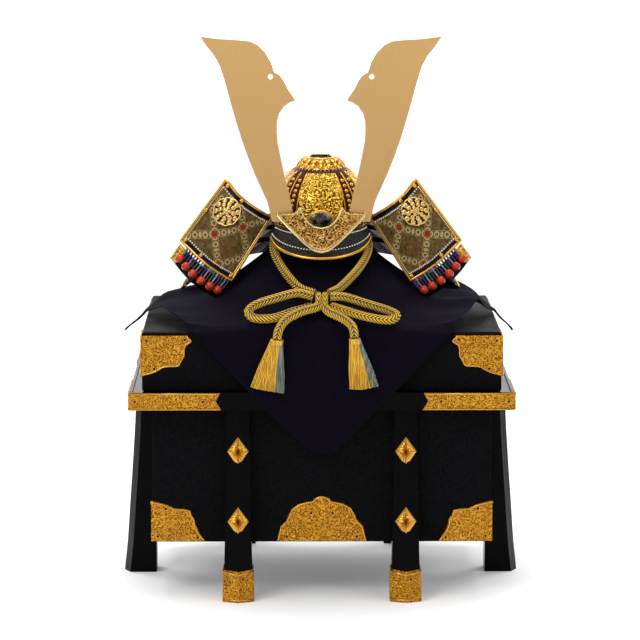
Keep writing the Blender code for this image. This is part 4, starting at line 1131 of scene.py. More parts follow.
@dataclass
class Bowl:
    """The ribbed and riveted bowl with its crown, front relief and oval boss."""

    base: float = 0.3430
    radius: float = 0.0470
    height: float = 0.0595
    depth_share: float = 1.06
    tilt: float = math.radians(4.6)
    # Columns: share of the height, share of the radius
    profile: tuple = (
        (0.000, 1.000), (0.210, 1.000), (0.410, 0.955), (0.590, 0.860), (0.720, 0.750),
        (0.815, 0.640), (0.905, 0.500), (0.970, 0.370), (1.000, 0.235),
    )
    # Degrees from the front of each rib, of each row of rivets and of the edges of the gilt panels
    ribs: tuple = (30, 45, 60, 76, 96, 116, 136, 158)
    rivet_rows: tuple = (37.5, 52.5, 106, 126, 147, 169)
    gold_panels: tuple = ((62, 74), (78, 94))
    # Radius of the ribs, and the share of the height up to which they run
    rib: float = 0.00085
    highest: float = 0.88
    # Each row's rivets: count, first and step as shares of the height
    rivets: int = 10
    rivet_first: float = 0.08
    rivet_step: float = 0.076
    # Columns: distance from the axis, rise over the crown's edge and lean of a ring of petals
    petals: tuple = ((0.0165, 0.0020, 0.45), (0.0205, -0.0016, 0.75))
    petal_count: int = 16
    # Columns: distance from the axis and rise of a ring of beads
    beads: tuple = ((0.0126, 0.0040), (0.0230, -0.0052))
    bead_count: int = 36
    # Columns: name, distance from the axis, rise and radius of a plain ring
    crown_rings: tuple = (("inner", 0.0121, 0.0046, 0.0010), ("outer", 0.0218, -0.0040, 0.0009))
    # Columns: name, size beside the boss, distance behind its middle and radius of a rim
    bezels: tuple = (("outer", 1.12, 0.0012, 0.0011), ("inner", 1.02, 0.0004, 0.0006))

    def to_world(self, spot: Vector) -> Vector:
        """Moves a point from the bowl's own frame to the world."""
        return Matrix.Rotation(self.tilt, 4, "X") @ spot + Vector((0, 0, self.base))

    def ray(self, turn: float) -> Vector:
        """The way out from the bowl's axis at an angle from the front, in radians."""
        return Vector((math.sin(turn), -math.cos(turn) * self.depth_share, 0))

    def point(self, turn: float, share: float, off: float = 0.0) -> Vector:
        """A point off the bowl's skin; turn is in degrees from the front towards +X."""
        radius = self.radius * between(self.profile, share) + off
        angle = math.radians(turn)
        x, y = radius * math.sin(angle), -radius * self.depth_share * math.cos(angle)
        return self.to_world(Vector((x, y, self.height * share)))

    def normal(self, turn: float, share: float) -> Vector:
        """The skin's normal at a point."""
        across = self.point(turn + 1, share) - self.point(turn - 1, share)
        up = self.point(turn, min(share + 0.02, 1.0)) - self.point(turn, max(share - 0.02, 0.0))
        return across.cross(up).normalized()

    def build(self, finishes: Finishes) -> None:
        """Builds everything on the bowl."""
        paint(finishes.dark, "bowl")
        paint(finishes.relief, "bowl_front_plate", "crown_ring")
        # The boss's pale swirl is a painted reflection
        paint(finishes.stone, "crest_boss")
        ribs = [(side * turn, f"{letter}{turn}") for turn in self.ribs for side, letter in LETTERS]
        for turn, word in (*ribs, (180, "back")):
            path = [self.point(turn, k / 24 * self.highest, 0.0003) for k in range(25)]
            bar(f"bowl_rib_{word}", self.rib, path, finishes.bright)
        places = []
        for side in (-1, 1):
            for row in self.rivet_rows:
                for k in range(self.rivets):
                    turn, share = side * row, self.rivet_first + self.rivet_step * k
                    places.append(facing(self.point(turn, share, 0.0002), self.normal(turn, share)))
        scatter("bowl_rivets", ball(0.0021, 0.8), places, finishes.bright)
        for side, letter in LETTERS:
            for low, high in self.gold_panels:
                self.panel(f"relief_panel_{letter}{low}", side * low, side * high, finishes)
        rim = [self.point(3 * k, 0.02, 0.0004) for k in range(120)]
        bar("bowl_rim", 0.0011, rim, finishes.bright, sides=10, closed=True)
        self.crown(finishes)
        self.bezel(finishes)

    def panel(self, name: str, low: float, high: float, finishes: Finishes) -> None:
        """A gold relief panel between two ribs."""
        rows = []
        for k in range(21):
            share = 0.04 + 0.82 * k / 20
            rows.append([self.point(low + (high - low) * j / 6, share, 0.0006) for j in range(7)])
        thick_sheet(name, rows, 0.0008, finishes.relief)

    def crown(self, finishes: Finishes) -> None:
        """Petals, bead rings and plain rings round the open crown."""
        petals, beads = [], []
        origin = self.to_world(Vector((0, 0, 0)))
        for turn in circle(self.petal_count):
            way = self.ray(turn)
            for reach, rise, lean in self.petals:
                spot = self.to_world(way * reach + Vector((0, 0, self.height + rise)))
                petals.append(facing(spot, self.to_world(way * lean + UP) - origin, way))
        for turn in circle(self.bead_count):
            for reach, rise in self.beads:
                spot = self.to_world(self.ray(turn) * reach + Vector((0, 0, self.height + rise)))
                beads.append(facing(spot, UP))
        scatter("crown_petals", ball(0.0030, 0.55, 1.25, 0.85), petals, finishes.bright)
        for name, reach, rise, thick in self.crown_rings:
            over = Vector((0, 0, self.height + rise))
            ring = [self.to_world(self.ray(turn) * reach + over) for turn in circle(60)]
            bar(f"crown_ring_{name}", thick, ring, finishes.white_gold, up=UP, sides=10, closed=True)
        scatter("crown_beads", ball(0.0009), beads, finishes.bright)

    def bezel(self, finishes: Finishes) -> None:
        """Two gold oval rims round the boss."""
        low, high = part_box("crest_boss")
        middle, half = (low + high) / 2, (high - low) / 2
        for name, grow, back, thick in self.bezels:
            path = []
            for turn in circle(48):
                x, z = half.x * grow * math.cos(turn), half.z * grow * math.sin(turn)
                y = middle.y + back - z * math.sin(self.tilt)
                path.append(Vector((middle.x + x, y, middle.z + z)))
            bar(f"bezel_{name}", thick, path, finishes.bright, sides=10, closed=True)


@dataclass
class Crest:
    """Visor, crest holder and horns."""

    half_width: float = 0.0428
    front: float = -0.0745
    sweep: float = 0.0130
    top: float = 0.3569
    thickness: float = 0.0016
    depth: float = 0.0355
    lean: float = 0.0060
    # Columns: share of the half width, upper and lower edge as shares of the depth
    edges: tuple = (
        (0.000, 0.660, 0.000), (0.160, 0.700, 0.045), (0.270, 0.790, 0.140), (0.380, 0.950, 0.240),
        (0.470, 1.200, 0.340), (0.520, 1.110, 0.400), (0.640, 1.030, 0.530), (0.800, 1.020, 0.720),
        (1.000, 1.000, 0.960),
    )
    # The flower in the middle: its height as a share, half axes of its frame, petals and their reach
    flower_at: float = 0.36
    flower_frame: tuple[float, float] = (0.0062, 0.0042)
    flower_petals: int = 8
    flower_reach: float = 0.0026
    # Leaves on each arm: count, first place and span as shares of the half width
    leaf_count: int = 22
    leaf_first: float = 0.20
    leaf_span: float = 0.74
    # The visor at the bowl: radius, height and slope, and the share of the lip's turn that it spans
    visor_inner: float = 0.0485
    visor_height: float = 0.3440
    visor_slope: float = 0.08
    visor_turn: float = 64 / 90
    # The visor's lip: half width, way forward and its reach from there, height and rise to the sides
    lip_width: float = 0.0480
    lip_front: float = 0.0360
    lip_reach: float = 0.0420
    lip_height: float = 0.3160
    lip_rise: float = 0.0175
    stitch_rows: tuple[float, float] = (0.72, 0.20)
    stitches: int = 44

    def point(self, x: float, share: float, off: float = 0.0) -> Vector:
        """A point on the holder's front, off its face."""
        bow = (x / self.half_width) ** 2
        y = self.front + self.sweep * bow + self.lean * share - self.thickness - off
        return Vector((x, y, self.top - self.depth * (1 - share)))

    def edge(self, column: int, reach: float, inset: float, off: float = 0.0) -> list[Vector]:
        """The holder's upper (1) or lower (2) edge from left to right."""
        found = []
        for k in range(-30, 31):
            share = between(self.edges, abs(k) / 30 * reach, column) + inset
            found.append(self.point(k / 30 * reach * self.half_width, share, off))
        return found

    def build(self, finishes: Finishes) -> None:
        """Paints the crest's nodes and adds rims, beads, flower, leaves, studs and stitches."""
        paint(finishes.pale, "crest_holder")
        paint(finishes.satin, "horn_left", "horn_right")
        paint(finishes.leather, "visor")
        gold = finishes.white_gold
        bar("holder_lower_rim", 0.0010, self.edge(2, 1.0, 0.015), gold, Slot.PALE)
        bar("holder_inner_rim", 0.0015, self.edge(1, 0.50, -0.02), gold, Slot.PALE, sides=10, flat=0.6)
        beads = smooth_path(self.edge(2, 0.98, 0.085, -0.0002)[::2], 0.0021)
        scatter("holder_beads", ball(0.00085), [facing(spot) for spot in beads], gold)
        for side, letter in LETTERS:
            path = [spot for spot in self.edge(1, 1.0, -0.03) if side * spot.x >= self.half_width * 0.5]
            bar(f"holder_top_rim_{letter}", 0.0008, path, gold, Slot.PALE)
        self.flower(finishes)
        self.leaves(finishes)
        self.visor(finishes)
        self.studs(finishes)

    def flower(self, finishes: Finishes) -> None:
        """A flower in an oval frame in the middle of the holder."""
        middle = self.point(0.0, self.flower_at)
        wide, high = self.flower_frame
        ring = []
        for turn in circle(40):
            ring.append(middle + Vector((wide * math.cos(turn), 0.0004, high * math.sin(turn))))
        bar("flower_frame", 0.0005, ring, finishes.white_gold, Slot.PALE, closed=True)
        petals = []
        for turn in circle(self.flower_petals):
            way = Vector((math.cos(turn), 0, math.sin(turn) * 0.75))
            petals.append(facing(middle + way * self.flower_reach, FRONT, way))
        petals.append(facing(middle + Vector((0, -0.0004, 0))))
        scatter("flower_petals", ball(0.0015, 0.5, 1.2, 0.8), petals, finishes.pale)

    def leaves(self, finishes: Finishes) -> None:
        """Raised leaves in two rows on both arms of the holder, each turned its own way."""
        places = []
        for side in (-1, 1):
            for k in range(self.leaf_count):
                across = self.leaf_first + self.leaf_span * k / (self.leaf_count - 1)
                low, high = between(self.edges, across, 2) + 0.16, between(self.edges, across, 1) - 0.12
                if high <= low:
                    continue
                for row, part in enumerate((0.18, 0.62)):
                    turn = (k * 1.9 + row * 2.4) * side
                    spot = self.point(side * across * self.half_width, low + (high - low) * part, 0.0001)
                    places.append(facing(spot, FRONT, Vector((math.cos(turn), 0, math.sin(turn)))))
        scatter("holder_leaves", ball(0.0019, 0.45, 1.5, 0.62), places, finishes.pale)

    def studs(self, finishes: Finishes) -> None:
        """Studs near the upper edge of the holder's arms, where the horns stand."""
        places = []
        for side in (-1, 1):
            for across in (0.68, 0.96):
                share = between(self.edges, across, 1) - 0.10
                places.append(facing(self.point(side * across * self.half_width, share)))
        scatter("holder_studs", ball(0.0013, 0.6), places, finishes.bright)

    def lip(self, turn: float, share: float, off: float) -> Vector:
        """A point off the visor: turn in degrees over the lip, share of the way from bowl to lip."""
        a = math.radians(turn)
        b = a * self.visor_turn
        y = -self.visor_inner * Bowl.depth_share * math.cos(b)
        inner = Vector((self.visor_inner * math.sin(b), y, self.visor_height + self.visor_slope * y))
        y = -self.lip_front - self.lip_reach * math.cos(a)
        lip = Vector((self.lip_width * math.sin(a), y, self.lip_height + self.lip_rise * (1 - math.cos(a))))
        out = Vector((math.sin(a) * 0.6, -math.cos(a) * 0.6, 0.8)).normalized()
        return inner.lerp(lip, share) + out * off

    def visor(self, finishes: Finishes) -> None:
        """The visor's gold lip and its two stitched lines."""
        path = [self.lip(-88 + 176 * k / 60, 1.0, 0.0002) for k in range(61)]
        bar("visor_rim", 0.0014, path, finishes.bright, sides=12)
        dashes = []
        for share in self.stitch_rows:
            for k in range(self.stitches):
                turn = -84 + 168 * k / (self.stitches - 1)
                spot = self.lip(turn, share, 0.0011)
                out = Vector((math.sin(math.radians(turn)) * 0.6, -0.6, 0.8))
                dashes.append(facing(spot, out, self.lip(turn + 1, share, 0.0011) - spot))
        scatter("visor_stitches", ball(0.00065, 0.8, 1.6), dashes, finishes.white)


@dataclass
class NeckGuard:
    """Laced neck plates and the turned-back wings with leather, rims, beads and roundels."""

    top: float = 0.3480
    slope: float = 0.800
    tilt: float = 0.080
    back_share: float = 0.70
    thickness: float = 0.0014
    # Distance by which each plate lies under the one before it
    tuck: float = 0.0020
    # Columns: inner radius, outer radius, half angle of the open front, degrees left free, laces
    plates: tuple = (
        (0.0500, 0.0900, 60, 26, 26), (0.0900, 0.1130, 68, 26, 32), (0.1130, 0.1360, 94, 0, 32),
    )
    lace_row: float = 0.0030
    # Columns: upper edge x, y, z and lower edge x, y, z, from the fold outwards
    wing: tuple = (
        (0.0478, -0.0265, 0.3500, 0.0860, -0.0455, 0.2915),
        (0.0600, -0.0350, 0.3580, 0.0985, -0.0455, 0.2990),
        (0.0700, -0.0380, 0.3650, 0.1100, -0.0430, 0.3070),
        (0.0800, -0.0370, 0.3735, 0.1220, -0.0370, 0.3170),
        (0.0910, -0.0310, 0.3870, 0.1345, -0.0270, 0.3280),
    )
    lower_wing: tuple = (
        (0.0880, -0.0415, 0.2880, 0.1010, -0.0395, 0.2745),
        (0.1010, -0.0425, 0.2950, 0.1130, -0.0400, 0.2815),
        (0.1130, -0.0395, 0.3030, 0.1245, -0.0370, 0.2895),
        (0.1240, -0.0340, 0.3130, 0.1345, -0.0310, 0.2995),
        (0.1350, -0.0255, 0.3240, 0.1440, -0.0235, 0.3110),
    )
    wall: float = 0.0018
    bulge: float = 0.0050
    # Shares out along the wing and down it of its stitched lines, piping and studs
    stitch_lines: tuple[float, float] = (0.085, 0.915)
    piping: tuple[float, float] = (0.035, 0.965)
    studs: tuple = (
        (0.93, 0.035), (0.62, 0.035), (0.965, 0.47), (0.95, 0.95), (0.64, 0.955), (0.05, 0.955),
    )
    coral_count: int = 6
    lace_count: int = 17
    # Shares down the lower wing at which a lace is held
    lace_holds: tuple = (0.02, 0.2, 0.42)
    roundel_at: tuple[float, float] = (0.70, 0.27)
    # Columns: petals, distance from the middle, size and lift of a ring of petals
    peony_rings: tuple = ((10, 0.0112, 1.0, 0.0), (8, 0.0072, 0.9, 0.0008), (5, 0.0034, 0.7, 0.0016))
    # Radius of the hoop round the peony, and depth of its scallops
    hoop: tuple[float, float] = (0.0129, 0.0007)

    def spot(self, table: tuple, side: int, out: float, down: float) -> Vector:
        """A point of a wing's middle surface, by shares out along the wing and down it."""
        place = min(max(out, 0.0), 1.0) * (len(table) - 1)
        low = min(int(place), len(table) - 2)
        row = [a + (b - a) * (place - low) for a, b in zip(table[low], table[low + 1])]
        x, y, z = (row[k] + (row[k + 3] - row[k]) * down for k in range(3))
        swell = self.bulge * math.sin(math.pi * down) * math.sin(math.pi * out) ** 2
        return Vector((side * x, y - swell, z))

    def face(
        self, table: tuple, side: int, out: float, down: float, off: float
    ) -> tuple[Vector, Vector, Vector]:
        """A point off a wing's front face, its normal, and the direction outwards along the wing."""
        step = 0.04
        far, near = min(out + step, 1), max(out - step, 0)
        along = self.spot(table, side, far, down) - self.spot(table, side, near, down)
        lower, upper = min(down + step, 1), max(down - step, 0)
        fall = self.spot(table, side, out, lower) - self.spot(table, side, out, upper)
        normal = along.cross(fall).normalized()
        if normal.y > 0:
            normal = -normal
        spot = self.spot(table, side, out, down) + normal * (self.wall / 2 + off)
        return spot, normal, along.normalized()

    def leaf(self, name: str, table: tuple, side: int, material: Material, node: str) -> None:
        """A wing as a smooth sheet with UV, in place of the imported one."""
        across, deep = 32, 24
        uv = [(k / across, r / deep) for r in range(deep + 1) for k in range(across + 1)]
        rows = []
        for r in range(deep + 1):
            rows.append([self.spot(table, side, k / across, r / deep) for k in range(across + 1)])
        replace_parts(thick_sheet(name, rows, self.wall, material, uv), node)

    def build(self, finishes: Finishes) -> None:
        """Builds the lacing on the plates and everything on both wings."""
        paint(finishes.lacquer, "neck_plate_1", "neck_plate_2", "neck_plate_3")
        for side, word in SIDES:
            self.leaf(f"wing_{word}", self.wing, side, finishes.printed, f"turn_back_{word}")
            self.leaf(
                f"lower_wing_{word}", self.lower_wing, side, finishes.lacquer, f"lower_turn_back_{word}"
            )
            self.trim(side, word, finishes)
            self.lower_trim(side, word, finishes)
            self.roundel(side, word, finishes)
        for number in range(len(self.plates)):
            self.lacing(number, finishes)

    def trim(self, side: int, word: str, finishes: Finishes) -> None:
        """The upper wing's gold rim, stitched lines, piping and studs."""
        steps = [k / 24 for k in range(25)]
        outline = [(s, 0.0) for s in steps] + [(1.0, s) for s in steps[1:]]
        outline += [(1 - s, 1.0) for s in steps[1:]] + [(0.0, 1 - s) for s in steps[1:-1]]
        path = [self.spot(self.wing, side, out, down) for out, down in outline]
        bar(f"wing_rim_{word}", 0.00145, path, finishes.bright, sides=10, closed=True)
        dashes = []
        for k in range(25):
            for down in self.stitch_lines:
                dashes.append(facing(*self.face(self.wing, side, 0.04 + 0.92 * k / 24, down, 0.0002)))
        scatter(f"wing_stitches_{word}", ball(0.0007, 0.7, 1.2, 1.1), dashes, finishes.white)
        for out in self.piping:
            path = [self.face(self.wing, side, out, 0.08 + 0.84 * k / 30, 0.0003)[0] for k in range(31)]
            bar(f"wing_piping_{word}_{round(out)}", 0.00055, path, finishes.white_gold)
        studs = [facing(*self.face(self.wing, side, out, down, 0.0003)) for out, down in self.studs]
        scatter(f"wing_studs_{word}", ball(0.0022, 0.6), studs, finishes.bright)

    def lower_trim(self, side: int, word: str, finishes: Finishes) -> None:
        """The lower wing's dark rim, coral beads, laces and gilt corner."""
        edge = [self.spot(self.lower_wing, side, k / 24, 1.0) for k in range(25)]
        bar(f"lower_rim_{word}", 0.0010, edge, finishes.lacquer, Slot.HIDE)
        beads = []
        for k in range(self.coral_count):
            out = 0.09 + 0.76 * k / (self.coral_count - 1)
            beads.append(facing(*self.face(self.lower_wing, side, out, 0.54, 0.0030)))
        model = ball(0.0044, segments=24, rings=14)
        scatter(f"coral_beads_{word}", model, beads, finishes.coral)
        purple, pale = finishes.purple, finishes.pale_lace
        order = (purple, pale, purple, purple, pale, finishes.green)
        for k in range(self.lace_count):
            out = 0.04 + 0.82 * k / (self.lace_count - 1)
            path = [self.spot(self.wing, side, out, 1.0)]
            path += [self.face(self.lower_wing, side, out, down, 0.0007)[0] for down in self.lace_holds]
            up = path[-1] - self.face(self.lower_wing, side, out - 0.1, self.lace_holds[-1], 0.0007)[0]
            material = order[k % len(order)]
            route = smooth_path(path, 0.0008)
            bar(f"wing_lace_{word}_{k}", 0.0018, route, material, Slot.SILK, up, sides=10, flat=0.4)
        rows = []
        for r in range(9):
            outs = [0.88 + 0.12 * k / 6 for k in range(7)]
            rows.append([self.face(self.lower_wing, side, out, r / 8, 0.0002)[0] for out in outs])
        thick_sheet(f"gilt_corner_{word}", rows, 0.0012, finishes.relief)

    def roundel(self, side: int, word: str, finishes: Finishes) -> None:
        """A peony of three rings of petals in a scalloped hoop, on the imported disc."""
        paint(finishes.leather, f"roundel_{word}")
        spot, normal, along = self.face(self.wing, side, *self.roundel_at, 0.0032)
        across = normal.cross(along)
        petals = []
        for number, (count, reach, size, lift) in enumerate(self.peony_rings):
            for k in range(count):
                # The middle ring's petals stand in the gaps
                turn = FULL_TURN * (k + 0.5 * (number == 1)) / count
                way = along * math.cos(turn) + across * math.sin(turn)
                place = facing(spot + way * reach + normal * lift, normal * 1.0 + way * 0.35, way)
                petals.append(place @ Matrix.Scale(size, 4))
        petals.append(facing(spot + normal * 0.0024, normal, along) @ Matrix.Scale(0.7, 4))
        radius, scallop = self.hoop
        hoop = []
        for turn in circle(60):
            reach = radius + scallop * abs(math.sin(5 * turn))
            hoop.append(spot + (along * math.cos(turn) + across * math.sin(turn)) * reach)
        bar(f"peony_hoop_{word}", 0.0008, hoop, finishes.peony, up=normal, closed=True)
        scatter(f"peony_{word}", ball(0.0030, 0.42, 1.0, 0.92), petals, finishes.peony)

    def cone(self, radius: float, turn: float, number: int, off: float) -> Vector:
        """A point off a neck plate's outer face; turn is in degrees from the back."""
        first = self.plates[0][0]
        a = math.radians(turn)
        behind = max(0.0, math.cos(a))
        out = (radius - first) * (1 - (1 - self.back_share) * behind)
        depth = first * (1 + 0.06 * behind) + out
        steep = math.cos(math.atan(self.slope))
        x, y = radius * math.sin(a), depth * math.cos(a)
        rise = (self.thickness / 2 + off - number * self.tuck) / steep
        return Vector((x, y, self.top - self.slope * out + self.tilt * y + rise))

    def lacing(self, number: int, finishes: Finishes) -> None:
        """Columns of laces down one neck plate, and a gold rim along its outer edge."""
        inner, outer, gap, free, count = self.plates[number]
        reach = 180 - gap - free
        rim = [self.cone(outer - 0.0006, reach * (k / 30 - 1), number, 0.0003) for k in range(61)]
        bar(f"neck_rim_{number + 1}", 0.0011, rim, finishes.bright)
        groups = {finishes.purple: [], finishes.white: [], finishes.green: []}
        deep = outer - inner - 2 * self.lace_row
        rows = max(3, round(deep / self.lace_row))
        for k in range(count + 1):
            turn = (reach - 3) * (2 * k / count - 1)
            # The second column from each end is white and the third is green
            material = {1: finishes.white, 2: finishes.green}.get(min(k, count - k), finishes.purple)
            for j in range(rows):
                radius = inner + self.lace_row + deep * (j + 0.5) / rows
                spot = self.cone(radius, turn, number, 0.0004)
                out = self.cone(radius + 0.001, turn, number, 0.0004) - spot
                ahead, behind = (self.cone(radius, turn + step, number, 0.0004) for step in (1, -1))
                across = ahead - behind
                normal = out.cross(across)
                if normal.z < 0:
                    normal = -normal
                for half in (-1, 1):
                    place = self.cone(radius, turn + half * 0.063 / radius, number, 0.0004)
                    way = out.normalized() + across.normalized() * half * 0.5
                    groups[material].append(facing(place, normal, way))
        for material, places in groups.items():
            if places:
                model = ball(0.0013, 0.55, 1.55, segments=10, rings=6)
                scatter(f"neck_laces_{number + 1}_{material.name}", model, places, material)


# ---- Cloth and cord


@dataclass
class Drape:
    """The wool cloth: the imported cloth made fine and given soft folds."""

    flat: tuple[float, float] = (0.385, 0.385)
    rounds: int = 2
    # Depth of the pleats round the helmet, their number, and where they are deepest and fade
    pleat: float = 0.0011
    pleats: int = 14
    pleat_radius: float = 0.062
    pleat_fade: float = 0.035
    crease: float = 0.0009
    # Height of the side corners' folds, which stand above this half width, and the right one's share
    fold: float = 0.0130
    fold_at: float = 0.150
    fold_right: float = 1.35
    # How far the hanging corners swing out, below the lid's top
    flap: float = 0.0060
    hang_from: float = 0.168
    lid_top: float = 0.252
    slope: float = 0.012

    def soften(self, co: Vector) -> Vector:
        """Moves one point of the cloth into the folds.

        Args:
            co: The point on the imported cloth.

        Returns:
            The point on the soft cloth.
        """
        side = math.copysign(1, co.x)
        radius, turn = math.hypot(co.x, co.y), math.atan2(co.y, co.x)
        pleats = (1 + math.cos(self.pleats * turn + 2.5 * noise.noise(co * 9))) / 2
        tent = math.exp(-(((radius - self.pleat_radius) / self.pleat_fade) ** 2))
        broad = (1 + noise.noise(Vector((co.x * 22, co.y * 22, co.z * 22)))) / 2
        rise = self.pleat * pleats * tent + self.crease * broad * (1 - tent)
        # The side corners stand up in a soft fold before they fall over the lid's edge
        beyond = abs(co.x) - self.fold_at
        fold = math.exp(-((beyond / (0.013 if beyond > 0 else 0.036)) ** 2))
        fold *= min(max((co.z - 0.238) / self.slope, 0.0), 1.0)
        fold *= self.fold_right if side > 0 else 1.0
        rise += self.fold * fold * (0.75 + 0.5 * noise.noise(Vector((co.x * 8, co.y * 30, 0.0))))
        hung = min(max((self.lid_top - co.z) / self.slope, 0.0), 1.0) * (abs(co.x) > self.hang_from)
        flap = Vector((side * self.flap * hung * (1.2 + math.cos(co.y * 90 + 0.4)) / 2, 0, 0))
        way = UP if abs(co.y) < 0.132 and co.z > 0.250 else Vector((0, math.copysign(1, co.y), 0))
        return co + way * rise + flap

    def build(self, finishes: Finishes) -> None:
        piece = bpy.data.objects.new("draped_cloth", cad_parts["cloth"].data.copy())
        bpy.context.scene.collection.objects.link(piece)
        choose(piece)
        bpy.ops.object.mode_set(mode="EDIT")
        bpy.ops.mesh.select_all(action="SELECT")
        bpy.ops.mesh.remove_doubles(threshold=0.00001)
        bpy.ops.mesh.tris_convert_to_quads(
            face_threshold=math.radians(50), shape_threshold=math.radians(60)
        )
        bpy.ops.object.mode_set(mode="OBJECT")
        apply(piece, "SUBSURF", levels=self.rounds, render_levels=self.rounds)
        for vertex in piece.data.vertices:
            vertex.co = self.soften(vertex.co.copy())
        finish_piece(piece, finishes.wool)
        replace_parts(piece, "cloth")


@dataclass
class CordSet:
    """The braided chin cord with its bow, knot and tassels."""

    diameter: float = 0.0080
    # The braid's outside beside the cord's size, and the depth of its gaps as a share of the radius
    fullness: float = 1.06
    relief: float = 0.28
    # Columns: x, y, z of each route's points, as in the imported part
    chin: tuple = (
        (-0.0073, -0.1094, 0.2872), (-0.0230, -0.0960, 0.2925), (-0.0385, -0.0650, 0.3080),
        (-0.0455, -0.0430, 0.3226), (-0.0420, -0.0250, 0.3330), (-0.0355, -0.0050, 0.3420),
        (-0.0300, 0.0186, 0.3482), (-0.0120, 0.0335, 0.3500), (0.0120, 0.0335, 0.3500),
        (0.0300, 0.0186, 0.3482), (0.0355, -0.0050, 0.3420), (0.0420, -0.0250, 0.3330),
        (0.0455, -0.0430, 0.3226), (0.0370, -0.0670, 0.3075), (0.0185, -0.0975, 0.2920),
        (0.0073, -0.1092, 0.2872),
    )
    left_loop: tuple = (
        (-0.0082, -0.1185, 0.2855), (-0.0233, -0.1185, 0.2888), (-0.0428, -0.1200, 0.2842),
        (-0.0606, -0.1210, 0.2785), (-0.0688, -0.1240, 0.2720), (-0.0630, -0.1290, 0.2664),
        (-0.0455, -0.1310, 0.2668), (-0.0260, -0.1270, 0.2725), (-0.0090, -0.1182, 0.2762),
    )
    right_loop: tuple = (
        (0.0082, -0.1185, 0.2855), (0.0224, -0.1180, 0.2848), (0.0438, -0.1190, 0.2782),
        (0.0623, -0.1220, 0.2726), (0.0702, -0.1270, 0.2686), (0.0631, -0.1340, 0.2652),
        (0.0430, -0.1335, 0.2680), (0.0215, -0.1270, 0.2735), (0.0094, -0.1182, 0.2762),
    )
    left_tail: tuple = (
        (-0.0012, -0.1205, 0.2790), (-0.0064, -0.1266, 0.2757), (-0.0190, -0.1365, 0.2735),
        (-0.0330, -0.1430, 0.2670), (-0.0398, -0.1480, 0.2585), (-0.0420, -0.1496, 0.2495),
    )
    right_tail: tuple = (
        (0.0010, -0.1190, 0.2785), (0.0064, -0.1272, 0.2722), (0.0165, -0.1355, 0.2685),
        (0.0250, -0.1425, 0.2640), (0.0292, -0.1478, 0.2590), (0.0303, -0.1494, 0.2508),
    )
    # The knot: its centre, and half the distance, half axes and radius of its wraps
    knot: Point = (0.0, -0.1185, 0.2808)
    wrap_apart: float = 0.0030
    wrap_axes: tuple[float, float] = (0.0046, 0.0062)
    wrap_radius: float = 0.0031
    # Left and right tassel: half width and how far the foot lies to the right of the head
    tassel_sizes: tuple = ((0.0168, -0.0092), (0.0146, 0.0092))
    tassel_length: float = 0.0475
    tassel_lean: float = -0.0031
    tassel_depth: float = 0.0034
    strands: int = 190
    strand: float = 0.00055
    # Share of the tassel's half width beyond which its strands are grey: left and right tassel
    grey_from: tuple[float, float] = (0.30, 0.42)

    def line(self, name: str, route: tuple, far_end: str, ends: list) -> None:
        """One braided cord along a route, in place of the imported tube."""
        path = smooth_path(list(route), 0.0004)
        radius = self.diameter / 2 * self.fullness
        piece = Tube(f"braided_{name}", radius, 32, relief=self.relief).build(path)
        finish_piece(piece, bpy.data.materials["gold_braid"])
        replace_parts(piece, name)

    def wrap(self, finishes: Finishes) -> Piece:
        """The knot: two upright wraps side by side."""
        centre = Vector(self.knot)
        deep, high = self.wrap_axes
        loops = []
        for across in (-self.wrap_apart, self.wrap_apart):
            path = []
            for turn in circle(60):
                path.append(centre + Vector((across, deep * math.cos(turn), high * math.sin(turn))))
            tube = Tube("knot_wrap", self.wrap_radius, 20, closed=True, relief=0.14)
            loops.append(tube.build(path, Vector((1, 0, 0))))
        choose(loops[0])
        loops[1].select_set(True)
        bpy.ops.object.join()
        knot = bpy.context.object
        knot.name = "bow_knot"
        knot.select_set(False)
        finish_piece(knot, finishes.braid)
        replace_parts(knot, "cord_knot")
        return knot

    def tassel(
        self, name: str, route: tuple, half_width: float, drift: float, finishes: Finishes
    ) -> list[Piece]:
        """A tassel: a bound head and many hanging strands, a few of them grey.

        Args:
            name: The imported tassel.
            route: The route of the cord that ends in it.
            half_width: Half its width at the foot.
            drift: How far its foot lies to the right of its head.
            finishes: The scene's materials.

        Returns:
            The tassel's pieces.
        """
        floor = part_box(name)[0].z + 0.0002
        top = Vector(route[-1]) + Vector((0, 0, -0.0006))
        end = top + Vector((drift, self.tassel_lean, -self.tassel_length))
        grey_from = self.grey_from[drift > 0]
        groups = {"gold": ([], []), "grey": ([], [])}
        for k in range(self.strands):
